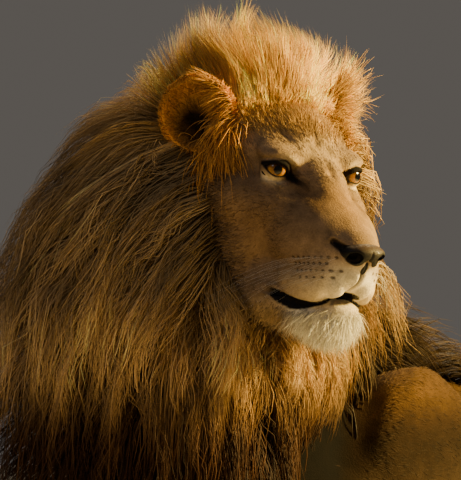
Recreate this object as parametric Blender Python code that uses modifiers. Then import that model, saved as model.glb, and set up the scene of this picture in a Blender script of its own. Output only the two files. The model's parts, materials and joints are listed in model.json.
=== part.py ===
"""A life-size male lion at rest: it lies on its belly with the forelegs stretched out, the hind
legs folded, the head raised and turned to its left.

Metres, +Z up. The lion's own forward is -Y and its left is +X. The origin is on the floor, in the
middle of the flat of the belly. Every outline includes the coat, and the mane out to its tips.

The flesh is laid up in masses (balls, stretched balls and links between two balls), fused with a
Remesh, softened with a Smooth and thinned with a Decimate. Thin cuts then part it into the pieces
that a person would name.
"""

import math

import bmesh
import bpy
from mathutils import Euler, Matrix, Vector

# ---------------------------------------------------------------- driving sizes
EYE_HEIGHT = 0.905  # of the middle of the eyes above the floor
HEAD_PLACE = Vector((0.25, -0.56, EYE_HEIGHT))  # the point midway between the eyes
HEAD_TURN = math.radians(80)  # to the lion's left of straight ahead
HEAD_NOD = math.radians(4)  # nose down
HEAD_TILT = math.radians(4.3)  # left side down

EYE_SPACING = 0.124  # between the two eyeball centres
EYE_RADIUS = 0.0185
EAR_PLACE = (-0.108, 0.120, 0.072)  # middle of the cup: behind, beside and above the eyes
EAR_TURN = math.radians(38)  # how far each ear opens outwards
EAR_LEAN = math.radians(20)  # and leans

CUT = 0.0006  # width of the thin cuts between neighbouring pieces
WIDE_CUT = 0.003  # where hair hides the cut, so that its walls can be coarser
LOCK_COUNT = 13  # hanging points of hair in each tier round the chest
MOUTH_CORNER = (0.022, 0.0, -0.176)  # where the lips end, on the middle plane
MOUTH_RISE = math.radians(12)  # of the mouth line towards the front
JAW_BLOCK = (0.30, 0.22, 0.16)  # the block, wider than the head, that parts the jaw

PAW_START = {"fore": -0.80, "hind": 0.20}  # where each paw is parted from its leg, along Y
TUFT_START = 0.60  # and the tuft from the tail

# The clay of each kind of piece: voxel, rounds of softening, triangles kept.
CLAY = {
    "head": (0.0045, 10, 1300),
    "neck": (0.010, 6, 1200),
    "trunk": (0.012, 8, 540),
    "nose": (0.0022, 3, 170),
    "tail": (0.007, 4, 400),
    "leg": (0.0075, 5, 350),
    "ear_room": (0.006, 2, 240),
}
FINE_WEIGHT = 0.25  # of thinning on the face, against 1 on the hidden back of the head
HIDDEN_BACK = 0.085  # behind the eyes, from where the mane hides the head

TAWNY = (0.47, 0.27, 0.10, 1.0)
MANE_BROWN = (0.22, 0.12, 0.05, 1.0)
NOSE_LEATHER = (0.10, 0.055, 0.045, 1.0)
AMBER = (0.42, 0.20, 0.03, 1.0)

SIDES = {"left": 1, "right": -1}


# ---------------------------------------------------------------- scene helpers
def clear_scene():
    for obj in list(bpy.data.objects):
        bpy.data.objects.remove(obj)
    for block in list(bpy.data.collections):
        bpy.data.collections.remove(block)


def collection(name):
    made = bpy.data.collections.new(name)
    bpy.context.scene.collection.children.link(made)
    return made


def material(name, colour, roughness):
    made = bpy.data.materials.new(name)
    made.use_nodes = True
    shader = made.node_tree.nodes["Principled BSDF"]
    shader.inputs["Base Color"].default_value = colour
    shader.inputs["Roughness"].default_value = roughness
    shader.inputs["Metallic"].default_value = 0.0
    return made


def move_to(obj, target):
    for old in list(obj.users_collection):
        old.objects.unlink(obj)
    target.objects.link(obj)


def settle(obj):
    """Replaces an object's mesh by its evaluated one, so that its modifiers are used up."""
    graph = bpy.context.evaluated_depsgraph_get()
    mesh = bpy.data.meshes.new_from_object(obj.evaluated_get(graph))
    obj.modifiers.clear()
    obj.data = mesh
    return obj


def keep_largest_body(obj):
    """Removes crumbs that a cut leaves loose beside the piece itself."""
    work = bmesh.new()
    work.from_mesh(obj.data)
    unseen = set(work.verts)
    bodies = []
    while unseen:
        front = [unseen.pop()]
        body = set(front)
        while front:
            for edge in front.pop().link_edges:
                for vert in edge.verts:
                    if vert in unseen:
                        unseen.remove(vert)
                        body.add(vert)
                        front.append(vert)
        bodies.append(body)
    largest = max(bodies, key=len)
    loose = [vert for vert in work.verts if vert not in largest]
    bmesh.ops.delete(work, geom=loose, context="VERTS")
    work.to_mesh(obj.data)
    work.free()


# ---------------------------------------------------------------- clay masses
def head_matrix():
    """From the head's own frame (X its left, Y backwards, Z up, origin between the eyes)."""
    turn = Matrix.Rotation(HEAD_TURN, 4, "Z")
    nod = Matrix.Rotation(HEAD_NOD, 4, "X")
    tilt = Matrix.Rotation(HEAD_TILT, 4, "Y")
    return Matrix.Translation(HEAD_PLACE) @ turn @ nod @ tilt


def in_head(forward, side, up):
    """A place in the head's own frame, given the way an anatomist would say it."""
    return Vector((side, -forward, up))


def ball(centre, radii, turn=(0.0, 0.0, 0.0), frame=None, segments=24):
    """A stretched ball. turn holds degrees about X, Y and Z."""
    bpy.ops.mesh.primitive_uv_sphere_add(segments=segments, ring_count=segments // 2)
    obj = bpy.context.object
    spin = Euler([math.radians(angle) for angle in turn]).to_matrix().to_4x4()
    stretch = Matrix.Diagonal((*radii, 1.0))
    place = Matrix.Translation(centre) @ spin @ stretch
    obj.data.transform((frame or Matrix.Identity(4)) @ place)
    return obj


def link(start, start_radius, end, end_radius, frame=None):
    """The hull round two balls: a straight length of limb."""
    work = bmesh.new()
    for centre, radius in ((start, start_radius), (end, end_radius)):
        place = Matrix.Translation(centre)
        bmesh.ops.create_uvsphere(work, u_segments=16, v_segments=10, radius=radius, matrix=place)
    hull = bmesh.ops.convex_hull(work, input=work.verts)
    inner = [item for item in hull["geom_interior"] if isinstance(item, bmesh.types.BMVert)]
    bmesh.ops.delete(work, geom=inner, context="VERTS")
    mesh = bpy.data.meshes.new("link")
    work.to_mesh(mesh)
    work.free()
    obj = bpy.data.objects.new("link", mesh)
    bpy.context.scene.collection.objects.link(obj)
    obj.data.transform(frame or Matrix.Identity(4))
    return obj


def chain(stations, frame=None):
    """Links through (place, radius) stations, as along a leg or a tail."""
    return [link(*first, *second, frame=frame) for first, second in zip(stations, stations[1:])]


def mirrored(side, place):
    return Vector((side * place[0], place[1], place[2]))


def fuse(name, clay, masses, coarse=None):
    """Joins the masses into one soft closed body, of the clay named."""
    voxel, rounds, triangles = CLAY[clay]
    bpy.ops.object.select_all(action="DESELECT")
    for mass in masses:
        mass.select_set(True)
    bpy.context.view_layer.objects.active = masses[0]
    bpy.ops.object.join()
    body = masses[0]
    body.name = name
    body.data.name = name
    remesh = body.modifiers.new("clay", "REMESH")
    remesh.mode = "VOXEL"
    remesh.voxel_size = voxel
    smooth = body.modifiers.new("soften", "SMOOTH")
    smooth.factor = 0.5
    smooth.iterations = rounds
    settle(body)
    keep_largest_body(body)
    thin(body, triangles, coarse)
    return body


def thin(body, triangles, coarse=None):
    """Decimates a body to about that many triangles, most of all where coarse(place) is true."""
    corners = sum(len(face.vertices) - 2 for face in body.data.polygons)
    if corners <= triangles:
        return
    decimate = body.modifiers.new("thin", "DECIMATE")
    decimate.ratio = triangles / corners
    if coarse:
        group = body.vertex_groups.new(name="coarse")
        for vert in body.data.vertices:
            group.add([vert.index], 1.0 if coarse(vert.co) else FINE_WEIGHT, "REPLACE")
        decimate.vertex_group = group.name
    settle(body)
    body.vertex_groups.clear()


def duplicate(body, name):
    copy = body.copy()
    copy.data = body.data.copy()
    copy.name = name
    bpy.context.scene.collection.objects.link(copy)
    return copy


def grown(body, margin):
    """A copy that stands proud of the body by a margin all round."""
    copy = duplicate(body, "grown")
    swell = copy.modifiers.new("margin", "DISPLACE")
    swell.mid_level = 0.0
    swell.strength = margin
    return settle(copy)


def boolean(body, cutter, operation):
    cut = body.modifiers.new(operation.lower(), "BOOLEAN")
    cut.operation = operation
    cut.object = cutter
    cut.solver = "MANIFOLD"  # EXACT leaves open edges on these thinned meshes
    return settle(body)


# ---------------------------------------------------------------- the head
def skull_masses(frame):
    """Skull, jaw and the muscles that show through the coat of the face."""
    masses = [
        ball(in_head(-0.135, 0, -0.006), (0.088, 0.120, 0.083), frame=frame),
        ball(in_head(-0.055, 0, 0.008), (0.080, 0.076, 0.056), (25, 0, 0), frame),
        ball(in_head(-0.020, 0, -0.060), (0.092, 0.080, 0.070), frame=frame),
        ball(in_head(0.022, 0, -0.014), (0.037, 0.060, 0.034), (38, 0, 0), frame),
        ball(in_head(0.078, 0, -0.063), (0.034, 0.084, 0.030), (33, 0, 0), frame),
        ball(in_head(0.120, 0, -0.098), (0.033, 0.034, 0.028), frame=frame),
        ball(in_head(0.080, 0, -0.112), (0.052, 0.060, 0.044), frame=frame),
        ball(in_head(0.116, 0, -0.132), (0.031, 0.029, 0.024), frame=frame),
        ball(in_head(0.083, 0, -0.190), (0.032, 0.034, 0.031), frame=frame),
        ball(in_head(0.104, 0, -0.167), (0.028, 0.024, 0.014), frame=frame),
        ball(in_head(-0.030, 0, -0.140), (0.066, 0.120, 0.058), frame=frame),
        ball(in_head(-0.125, 0, -0.080), (0.085, 0.090, 0.085), frame=frame),
    ]
    for side in SIDES.values():
        masses += [
            ball(in_head(-0.010, side * 0.050, 0.020), (0.036, 0.030, 0.019), (20, 0, 0), frame),
            ball(in_head(-0.092, side * 0.056, 0.020), (0.048, 0.076, 0.050), frame=frame),
            ball(in_head(0.036, side * 0.042, -0.080), (0.037, 0.065, 0.045), (30, 0, 0), frame),
            ball(in_head(0.084, side * 0.027, -0.124), (0.030, 0.045, 0.034), frame=frame),
            ball(in_head(0.050, side * 0.041, -0.148), (0.024, 0.056, 0.028), (8, 0, 0), frame),
            ball(in_head(-0.075, side * 0.070, -0.095), (0.047, 0.075, 0.082), frame=frame),
            ball(in_head(0.0, side * EYE_SPACING / 2, 0.0), (0.0215, 0.0215, 0.0215), frame=frame),
        ]
        cheekbone = [
            (in_head(0.008, side * 0.062, -0.048), 0.025),
            (in_head(-0.045, side * 0.088, -0.046), 0.029),
            (in_head(-0.110, side * 0.096, -0.036), 0.028),
        ]
        jaw_bar = [
            (in_head(0.080, side * 0.020, -0.180), 0.028),
            (in_head(0.010, side * 0.045, -0.175), 0.034),
            (in_head(-0.090, side * 0.070, -0.135), 0.046),
        ]
        masses += chain(cheekbone, frame) + chain(jaw_bar, frame)
    return masses


def nose_masses(frame):
    """The bare end of the nose: a pad over two wings, with a keel down to the lip."""
    masses = [
        ball(in_head(0.141, 0, -0.090), (0.029, 0.022, 0.018), frame=frame),
        ball(in_head(0.140, 0, -0.112), (0.012, 0.013, 0.019), frame=frame),
    ]
    for side in SIDES.values():
        wing = in_head(0.133, side * 0.019, -0.096)
        masses.append(ball(wing, (0.018, 0.022, 0.016), frame=frame))
    return masses


def ear_place(side, frame):
    """From an ear's own frame (open towards -Y) to the world."""
    forward, out, up = EAR_PLACE
    base = Matrix.Translation(in_head(forward, side * out, up))
    turn = Matrix.Rotation(side * EAR_TURN, 4, "Z")
    lean = Matrix.Rotation(side * EAR_LEAN, 4, "Y")
    return frame @ base @ turn @ lean


def ear(side, frame):
    """A round cup on the corner of the skull, open forwards and outwards."""
    place = ear_place(side, frame)
    cup = ball((0, 0.014, 0), (0.054, 0.040, 0.058), frame=place, segments=14)
    hollow = ball((0, -0.020, 0.000), (0.042, 0.044, 0.045), frame=place, segments=10)
    boolean(cup, hollow, "DIFFERENCE")
    bpy.data.objects.remove(hollow)
    return cup


def ear_room(side, frame):
    """The room that an ear needs in the mane: its own bulk and a funnel in front of it."""
    place = ear_place(side, frame)
    bulk = ball((0, 0.012, 0), (0.058, 0.046, 0.062), frame=place)
    funnel = ball((0, -0.060, 0.006), (0.056, 0.080, 0.052), frame=place)
    return fuse("ear_room", "ear_room", [bulk, funnel])


def eyeball(side, frame):
    centre = in_head(0.0, side * EYE_SPACING / 2, 0.0)
    return ball(centre, (EYE_RADIUS,) * 3, frame=frame, segments=12)


def eye_opening(side, frame):
    """The cutter for the slit between the lids, in front of the eyeball."""
    centre = in_head(0.016, side * (EYE_SPACING / 2 + 0.006), 0.0)
    return ball(centre, (0.0155, 0.018, 0.0085), (0, side * 14, side * 20), frame, 12)


# ---------------------------------------------------------------- the mane and neck
def mane_masses(frame):
    """The outline of the mane: crown, ruff, nape, both sides of the neck, chest and withers."""
    masses = [
        ball(in_head(-0.172, 0, 0.082), (0.172, 0.118, 0.128), frame=frame),
        ball(in_head(-0.175, 0, -0.040), (0.186, 0.106, 0.170), frame=frame),
        ball(in_head(-0.250, 0, 0.020), (0.160, 0.120, 0.165), frame=frame),
        ball(in_head(-0.065, 0, -0.275), (0.130, 0.120, 0.105), frame=frame),
        ball((0.000, -0.280, 0.575), (0.145, 0.230, 0.115)),
        ball((0.010, -0.130, 0.610), (0.085, 0.120, 0.052), (-12, 0, 0)),
        ball((0.080, -0.500, 0.620), (0.180, 0.200, 0.220)),
    ]
    column = [
        ((0.000, -0.500, 0.950), 0.150),
        ((-0.010, -0.540, 0.830), 0.215),
        ((-0.030, -0.570, 0.660), 0.272),
        ((-0.030, -0.580, 0.480), 0.272),
        ((0.000, -0.600, 0.330), 0.200),
    ]
    masses += chain(column)
    masses += hanging_locks((-0.02, -0.56, 0.42), 0.200, 0.062, 0.16, 0.10, 0.22)
    masses += hanging_locks((-0.02, -0.55, 0.80), 0.190, 0.050, 0.18, 0.04, 0.55)
    return masses


def hanging_locks(middle, reach, size, drop, extra, flare):
    """A tier of big points of hair round the chest, longer by the extra in front."""
    locks = []
    for step in range(LOCK_COUNT):
        round_chest = math.radians(-205 + 230 * step / (LOCK_COUNT - 1))
        out = Vector((math.cos(round_chest), math.sin(round_chest), 0))
        root = Vector(middle) + out * reach + Vector((0, 0, 0.05 * (step % 2)))
        fall = drop + extra * max(0.0, -out.y) + 0.03 * (step % 3)
        tip = root + out * flare * fall - Vector((0, 0, fall))
        locks.append(link(root, size, tip, 0.016))
    return locks


# ---------------------------------------------------------------- the trunk and limbs
def trunk_masses():
    """Barrel, loin and rump, with the shoulder blades and the flanks."""
    masses = [
        ball((0, -0.18, 0.33), (0.205, 0.34, 0.295)),
        ball((0, 0.12, 0.28), (0.218, 0.38, 0.278)),
        ball((0, 0.44, 0.28), (0.190, 0.32, 0.250)),
        ball((0, 0.64, 0.31), (0.165, 0.20, 0.215)),
        ball((0, 0.10, 0.10), (0.200, 0.44, 0.120)),
    ]
    for side in SIDES.values():
        place = mirrored(side, (0.120, -0.26, 0.44))
        masses.append(ball(place, (0.080, 0.170, 0.205), (-14, side * 10, 0)))
    return masses


def foreleg_masses(side):
    """Upper arm folded under the shoulder, forearm flat on the floor, and the paw."""
    stations = [
        ((0.140, -0.42, 0.360), 0.120),
        ((0.205, -0.24, 0.135), 0.100),
        ((0.200, -0.46, 0.080), 0.074),
        ((0.188, -0.70, 0.058), 0.060),
        ((0.186, -0.82, 0.054), 0.060),
    ]
    masses = chain([(mirrored(side, place), radius) for place, radius in stations])
    return masses + toes(side, 0.186, -0.900, 0.034, 0.066)


def hindleg_masses(side):
    """Haunch, shank and long foot, folded on the floor beside the belly."""
    masses = [
        ball(mirrored(side, (0.180, 0.46, 0.255)), (0.115, 0.260, 0.215), (-24, 0, 0)),
        ball(mirrored(side, (0.215, 0.35, 0.180)), (0.095, 0.135, 0.130)),
    ]
    stations = [
        ((0.240, 0.36, 0.120), 0.085),
        ((0.262, 0.66, 0.078), 0.064),
        ((0.285, 0.40, 0.050), 0.052),
        ((0.292, 0.19, 0.048), 0.054),
    ]
    masses += chain([(mirrored(side, place), radius) for place, radius in stations])
    return masses + toes(side, 0.292, 0.110, 0.029, 0.058)


def toes(side, middle, tip, spacing, radius):
    """Four toes side by side, the middle two a little ahead."""
    made = []
    for step in (-1.5, -0.5, 0.5, 1.5):
        reach = tip + 0.010 * abs(step)
        place = mirrored(side, (middle + step * spacing, reach, radius * 0.66))
        made.append(ball(place, (radius * 0.42, radius * 0.95, radius * 0.70)))
    return made


# The tail hangs from the rump to the floor, then lies round on the lion's left.


TAIL_ROUTE = (
    ((0.000, 0.780, 0.350), 0.054),
    ((0.010, 0.880, 0.230), 0.042),
    ((0.050, 0.960, 0.100), 0.035),
    ((0.150, 1.000, 0.034), 0.030),
    ((0.290, 0.965, 0.029), 0.028),
    ((0.400, 0.860, 0.028), 0.027),
    ((0.455, 0.720, 0.027), 0.026),
    ((0.470, 0.600, 0.026), 0.025),
)
TUFT_ROUTE = (
    ((0.470, 0.590, 0.028), 0.027),
    ((0.465, 0.520, 0.036), 0.042),
    ((0.452, 0.450, 0.034), 0.038),
    ((0.436, 0.380, 0.022), 0.018),
)


# ---------------------------------------------------------------- parting
def slice_off(body, point, normal):
    """Takes away what lies beyond a plane, on the side its normal points to, and closes the cut."""
    work = bmesh.new()
    work.from_mesh(body.data)
    cut = bmesh.ops.bisect_plane(
        work,
        geom=work.verts[:] + work.edges[:] + work.faces[:],
        plane_co=point,
        plane_no=normal,
        clear_outer=True,
    )
    edges = [item for item in cut["geom_cut"] if isinstance(item, bmesh.types.BMEdge)]
    bmesh.ops.holes_fill(work, edges=edges)
    bmesh.ops.triangulate(work, faces=work.faces[:])
    bmesh.ops.recalc_face_normals(work, faces=work.faces[:])
    work.to_mesh(body.data)
    work.free()
    keep_largest_body(body)


def part_off(body, name, reach):
    """Parts a body across Y: all in front of the reach becomes a new piece."""
    other = duplicate(body, name)
    slice_off(body, (0, reach + CUT / 2, 0), (0, -1, 0))
    slice_off(other, (0, reach - CUT / 2, 0), (0, 1, 0))
    return other


def make_room(body, *guests, gap=CUT):
    """Cuts the guests' outlines out of a body, with the gap round each.

    A wide margin folds over itself in the guest's creases, so a thin one is cut as well.
    """
    for guest in guests:
        for margin in sorted({gap, CUT}, reverse=True):
            cutter = grown(guest, margin)
            boolean(body, cutter, "DIFFERENCE")
            bpy.data.objects.remove(cutter)
    keep_largest_body(body)


def part_jaw(head, frame):
    """Parts the lower jaw from the head along the mouth line, as far back as the lips reach."""
    bpy.ops.mesh.primitive_cube_add(size=1)
    block = bpy.context.object
    width, length, depth = JAW_BLOCK
    corner = Matrix.Translation(in_head(*MOUTH_CORNER))
    rise = Matrix.Rotation(-MOUTH_RISE, 4, "X")
    middle = Matrix.Translation((0, -length / 2, -depth / 2))
    block.data.transform(frame @ corner @ rise @ middle @ Matrix.Diagonal((*JAW_BLOCK, 1.0)))
    jaw = duplicate(head, "jaw")
    wider = grown(block, CUT)
    boolean(jaw, block, "INTERSECT")
    boolean(head, wider, "DIFFERENCE")
    for body in (jaw, head):
        keep_largest_body(body)
    for cutter in (block, wider):
        bpy.data.objects.remove(cutter)
    return jaw


def lay_up(frame):
    """The whole pieces, before any is parted: a dictionary from name to object."""
    to_head = frame.inverted()

    def hidden(place):
        return (to_head @ place).y > HIDDEN_BACK

    pieces = {
        "head": fuse("head", "head", skull_masses(frame), hidden),
        "neck": fuse("neck", "neck", mane_masses(frame)),
        "trunk": fuse("trunk", "trunk", trunk_masses()),
        "nose": fuse("nose", "nose", nose_masses(frame)),
        "tail": fuse("tail", "tail", chain(TAIL_ROUTE) + chain(TUFT_ROUTE)),
    }
    for name, side in SIDES.items():
        pieces[f"foreleg_{name}"] = fuse("foreleg", "leg", foreleg_masses(side))
        pieces[f"hindleg_{name}"] = fuse("hindleg", "leg", hindleg_masses(side))
        pieces[f"ear_{name}"] = ear(side, frame)
        pieces[f"eye_{name}"] = eyeball(side, frame)
    return pieces


def part_from_each_other(pieces, frame):
    """Cuts the thin gaps between neighbours, the mane and the head keeping their outlines."""
    head, neck, trunk = pieces["head"], pieces["neck"], pieces["trunk"]
    legs = [piece for name, piece in pieces.items() if "leg" in name]
    for body in (trunk, *legs):
        make_room(body, neck, gap=WIDE_CUT)
    make_room(neck, head, gap=WIDE_CUT)
    make_room(trunk, *legs, gap=WIDE_CUT)
    make_room(pieces["tail"], trunk)
    for name, side in SIDES.items():
        make_room(pieces[f"ear_{name}"], head)
        for body, cutter in ((neck, ear_room(side, frame)), (head, eye_opening(side, frame))):
            boolean(body, cutter, "DIFFERENCE")
            bpy.data.objects.remove(cutter)
        make_room(head, pieces[f"eye_{name}"])
    make_room(head, pieces["nose"])
    pieces["jaw"] = part_jaw(head, frame)

    for body in (trunk, pieces["tail"], *legs):
        slice_off(body, (0, 0, 0), (0, 0, -1))
    for name in SIDES:
        for end, reach in PAW_START.items():
            paw = f"{end}paw_{name}"
            pieces[paw] = part_off(pieces[f"{end}leg_{name}"], paw, reach)
    pieces["tail_tuft"] = part_off(pieces["tail"], "tail_tuft", TUFT_START)


def dress(pieces, target):
    """Names each piece, gives it its material and puts it in the target collection."""
    fur = material("tawny_coat", TAWNY, 0.8)
    mane_hair = material("mane_hair", MANE_BROWN, 0.75)
    leather = material("nose_leather", NOSE_LEATHER, 0.45)
    iris = material("amber_eye", AMBER, 0.1)
    special = {
        "neck": mane_hair,
        "tail_tuft": mane_hair,
        "nose": leather,
        "eye_left": iris,
        "eye_right": iris,
    }
    for name, obj in pieces.items():
        obj.name = obj.data.name = name
        move_to(obj, target)
        obj.data.materials.clear()
        obj.data.materials.append(special.get(name, fur))


def main():
    clear_scene()
    frame = head_matrix()
    pieces = lay_up(frame)
    part_from_each_other(pieces, frame)
    dress(pieces, collection("lion"))


if __name__ == "__main__":
    main()
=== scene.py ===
"""The looks of a life-size male lion at rest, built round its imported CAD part.

One skin stands for the nodes of flesh. Over it lies a coat of thin solid tufts: short on the face
and the body, long in the mane, the beard and the tail's end. The eyes and the bare leather of the
nose are pieces of their own. Metres, +Z up.

The head is worked in its own frame: +X is straight ahead of the face, +Y the lion's left, +Z up,
and the origin lies midway between the eyes. What comes in pairs is described on the left side.
"""

import json
import logging
import math
from collections.abc import Iterator, Sequence
from contextlib import contextmanager
from dataclasses import dataclass, replace
from enum import Enum

import bpy
import numpy as np
from mathutils import Matrix, Vector
from mathutils.bvhtree import BVHTree
from mathutils.kdtree import KDTree

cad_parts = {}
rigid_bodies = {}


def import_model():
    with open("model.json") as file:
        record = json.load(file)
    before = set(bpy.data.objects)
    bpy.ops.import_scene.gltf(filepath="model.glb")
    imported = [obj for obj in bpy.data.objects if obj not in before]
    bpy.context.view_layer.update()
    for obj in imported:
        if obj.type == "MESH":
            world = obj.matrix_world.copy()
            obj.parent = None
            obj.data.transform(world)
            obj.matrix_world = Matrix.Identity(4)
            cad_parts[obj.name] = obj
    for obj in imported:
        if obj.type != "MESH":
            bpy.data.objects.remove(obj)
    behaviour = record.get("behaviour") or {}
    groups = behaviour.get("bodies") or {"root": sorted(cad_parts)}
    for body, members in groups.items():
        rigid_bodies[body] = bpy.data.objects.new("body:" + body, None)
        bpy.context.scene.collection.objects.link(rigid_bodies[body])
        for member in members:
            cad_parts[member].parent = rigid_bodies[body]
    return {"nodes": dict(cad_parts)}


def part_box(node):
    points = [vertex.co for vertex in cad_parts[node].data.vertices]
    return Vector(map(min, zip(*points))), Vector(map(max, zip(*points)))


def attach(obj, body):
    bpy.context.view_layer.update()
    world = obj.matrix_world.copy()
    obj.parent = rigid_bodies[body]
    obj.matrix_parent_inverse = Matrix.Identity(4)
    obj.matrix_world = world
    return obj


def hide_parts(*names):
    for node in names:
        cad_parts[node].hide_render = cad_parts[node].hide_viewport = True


LOG = logging.getLogger("lion")
BAKE_MAP = "OFBake"
TINT = "tint"
WET = "wet"
Array = np.ndarray
Triple = tuple[float, float, float]
SIDES = (("left", 1), ("right", -1))


# ---------------------------------------------------------------- small sums
def unit(vectors: Array) -> Array:
    """Vectors of length one."""
    return vectors / np.maximum(np.linalg.norm(vectors, axis=-1, keepdims=True), 1e-9)


def ramp(value: Array, low: float, high: float) -> Array:
    """A soft step from 0 at low to 1 at high."""
    share = np.clip((value - low) / (high - low), 0.0, 1.0)
    return share * share * (3.0 - 2.0 * share)


def fade(value: Array, low: float, high: float) -> Array:
    """A soft step from 1 at low to 0 at high."""
    return 1.0 - ramp(value, low, high)


def bell(value: Array, width: float, centre: float = 0.0) -> Array:
    """A bell of height 1 at the centre, falling off over the width."""
    return np.exp(-(((value - centre) / width) ** 2))


def away(points: Array, place: Triple) -> Array:
    """How far points are from a place."""
    return np.linalg.norm(points - np.array(place), axis=1)


def hill(points: Array, centre: Triple, radii: Triple) -> Array:
    """A bell of height 1 at the centre, falling off over the radii."""
    return np.exp(-(((points - np.array(centre)) / np.array(radii)) ** 2).sum(-1))


def folded(points: Array) -> Array:
    """The points with the right side folded onto the left, for what comes in pairs."""
    same = points.copy()
    same[..., 1] = np.abs(same[..., 1])
    return same


def mix(first: Array, second: Array, share: Array) -> Array:
    """The first colour or vector turning into the second as the share goes from 0 to 1."""
    share = np.asarray(share)[..., None]
    return first * (1.0 - share) + second * share


def soft_least(first: Array, second: Array, blend: float) -> Array:
    """The smaller of two distances, rounded over where they are nearly equal."""
    share = np.clip(0.5 + 0.5 * (second - first) / blend, 0.0, 1.0)
    return second * (1.0 - share) + first * share - blend * share * (1.0 - share)


def beside_line(points: Array, line: Sequence[Triple]) -> tuple[Array, Array]:
    """How far points are from a bent line, and how far along it, from 0 to 1.

    Args:
        points: The points, in rows.
        line: The line's stations.

    Returns:
        The distances, and the shares of the line's length.
    """
    stations = np.array(line, float)
    lengths = np.linalg.norm(np.diff(stations, axis=0), axis=1)
    starts = np.concatenate([[0.0], np.cumsum(lengths)])
    best = np.full(len(points), 1e9)
    along = np.zeros(len(points))
    for index, (start, end) in enumerate(zip(stations, stations[1:])):
        run = end - start
        share = np.clip(((points - start) @ run) / (run @ run), 0.0, 1.0)
        gap = np.linalg.norm(points - start - share[:, None] * run, axis=1)
        nearer = gap < best
        best = np.where(nearer, gap, best)
        along = np.where(nearer, starts[index] + share * lengths[index], along)
    return best, along / starts[-1]


# ---------------------------------------------------------------- the head's own frame
@dataclass(frozen=True)
class HeadFrame:
    """Where the head is: the point between the eyes, and its ahead, left and up directions."""

    origin: Array
    axes: Array

    @classmethod
    def from_nodes(cls, nodes: dict[str, bpy.types.Object], dip: float) -> "HeadFrame":
        """Reads the frame from the CAD eyes and nose.

        Args:
            nodes: The CAD nodes by name.
            dip: How far the nose lies below straight ahead of the eyes, in degrees.

        Returns:
            The head's frame.
        """
        left, right, nose = (
            read_points(nodes[name]).mean(axis=0) for name in ("eye_left", "eye_right", "nose")
        )
        origin = (left + right) / 2
        side = unit(left - right)
        reach = nose - origin
        reach = unit(reach - side * (reach @ side))
        over = np.cross(reach, side)
        lift = math.radians(dip)
        ahead = reach * math.cos(lift) + over * math.sin(lift)
        return cls(origin, np.array([ahead, side, np.cross(ahead, side)]))

    def to_local(self, points: Array) -> Array:
        """World points in the head's frame."""
        return (points - self.origin) @ self.axes.T

    def to_world(self, points: Array) -> Array:
        """Points of the head's frame in the world."""
        return np.asarray(points) @ self.axes + self.origin

    def turned_out(self, vectors: Array) -> Array:
        """Directions of the head's frame in the world."""
        return np.asarray(vectors) @ self.axes

    def matrix(self) -> Matrix:
        """The same as a matrix, for objects."""
        made = Matrix.Identity(4)
        for row in range(3):
            for column in range(3):
                made[row][column] = self.axes[column][row]
            made[row][3] = self.origin[row]
        return made


# ---------------------------------------------------------------- mesh helpers
def read(items: bpy.types.bpy_prop_collection, name: str, width: int, kind: type = np.float32) -> Array:
    """A property of a mesh's parts, in rows of that width."""
    flat = np.empty(len(items) * width, kind)
    items.foreach_get(name, flat)
    return flat.reshape(-1, width)


def read_points(obj: bpy.types.Object) -> Array:
    """An object's vertices as rows."""
    return read(obj.data.vertices, "co", 3).astype(float)


def read_normals(obj: bpy.types.Object) -> Array:
    """An object's vertex normals as rows."""
    return read(obj.data.vertex_normals, "vector", 3).astype(float)


def read_edges(obj: bpy.types.Object) -> Array:
    """An object's edges as pairs of vertices."""
    return read(obj.data.edges, "vertices", 2, np.int32)


def read_triangles(mesh: bpy.types.Mesh) -> tuple[Array, Array]:
    """A mesh's triangles, as rows of their corners' vertices and rows of their corners' loops."""
    mesh.calc_loop_triangles()
    parts = mesh.loop_triangles
    return read(parts, "vertices", 3, np.int32), read(parts, "loops", 3, np.int32)


def write_points(obj: bpy.types.Object, points: Array) -> None:
    """Puts an object's vertices at the points."""
    obj.data.vertices.foreach_set("co", points.astype(np.float32).ravel())
    obj.data.update()


def tree_of(points: Array) -> KDTree:
    """A tree that finds the nearest of the points."""
    tree = KDTree(len(points))
    for index, point in enumerate(points):
        tree.insert(point, index)
    tree.balance()
    return tree


def pick_none() -> None:
    """Leaves nothing selected."""
    bpy.ops.object.select_all(action="DESELECT")


def pick(*objects: bpy.types.Object) -> None:
    """Selects just these, the first of them active."""
    pick_none()
    for obj in objects:
        obj.select_set(True)
    bpy.context.view_layer.objects.active = objects[0]


@contextmanager
def editing(obj: bpy.types.Object) -> Iterator[None]:
    """Edit mode, with the whole of the object selected."""
    pick(obj)
    bpy.ops.object.mode_set(mode="EDIT")
    bpy.ops.mesh.select_all(action="SELECT")
    yield
    bpy.ops.object.mode_set(mode="OBJECT")


def apply_modifier(obj: bpy.types.Object, kind: str, **settings: object) -> None:
    """Adds a modifier with its settings and applies it."""
    pick(obj)
    modifier = obj.modifiers.new(kind.lower(), kind)
    for name, value in settings.items():
        setattr(modifier, name, value)
    bpy.ops.object.modifier_apply(modifier=modifier.name)


def joined(name: str, objects: Sequence[bpy.types.Object]) -> bpy.types.Object:
    """Joins objects into the first, with all transforms applied."""
    pick(*objects)
    if len(objects) > 1:
        bpy.ops.object.join()
    bpy.ops.object.transform_apply(location=True, rotation=True, scale=True)
    body = bpy.context.view_layer.objects.active
    body.name = body.data.name = name
    return body


def smooth_shaded(obj: bpy.types.Object) -> None:
    """Shades an object smooth."""
    pick(obj)
    bpy.ops.object.shade_smooth()


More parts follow.
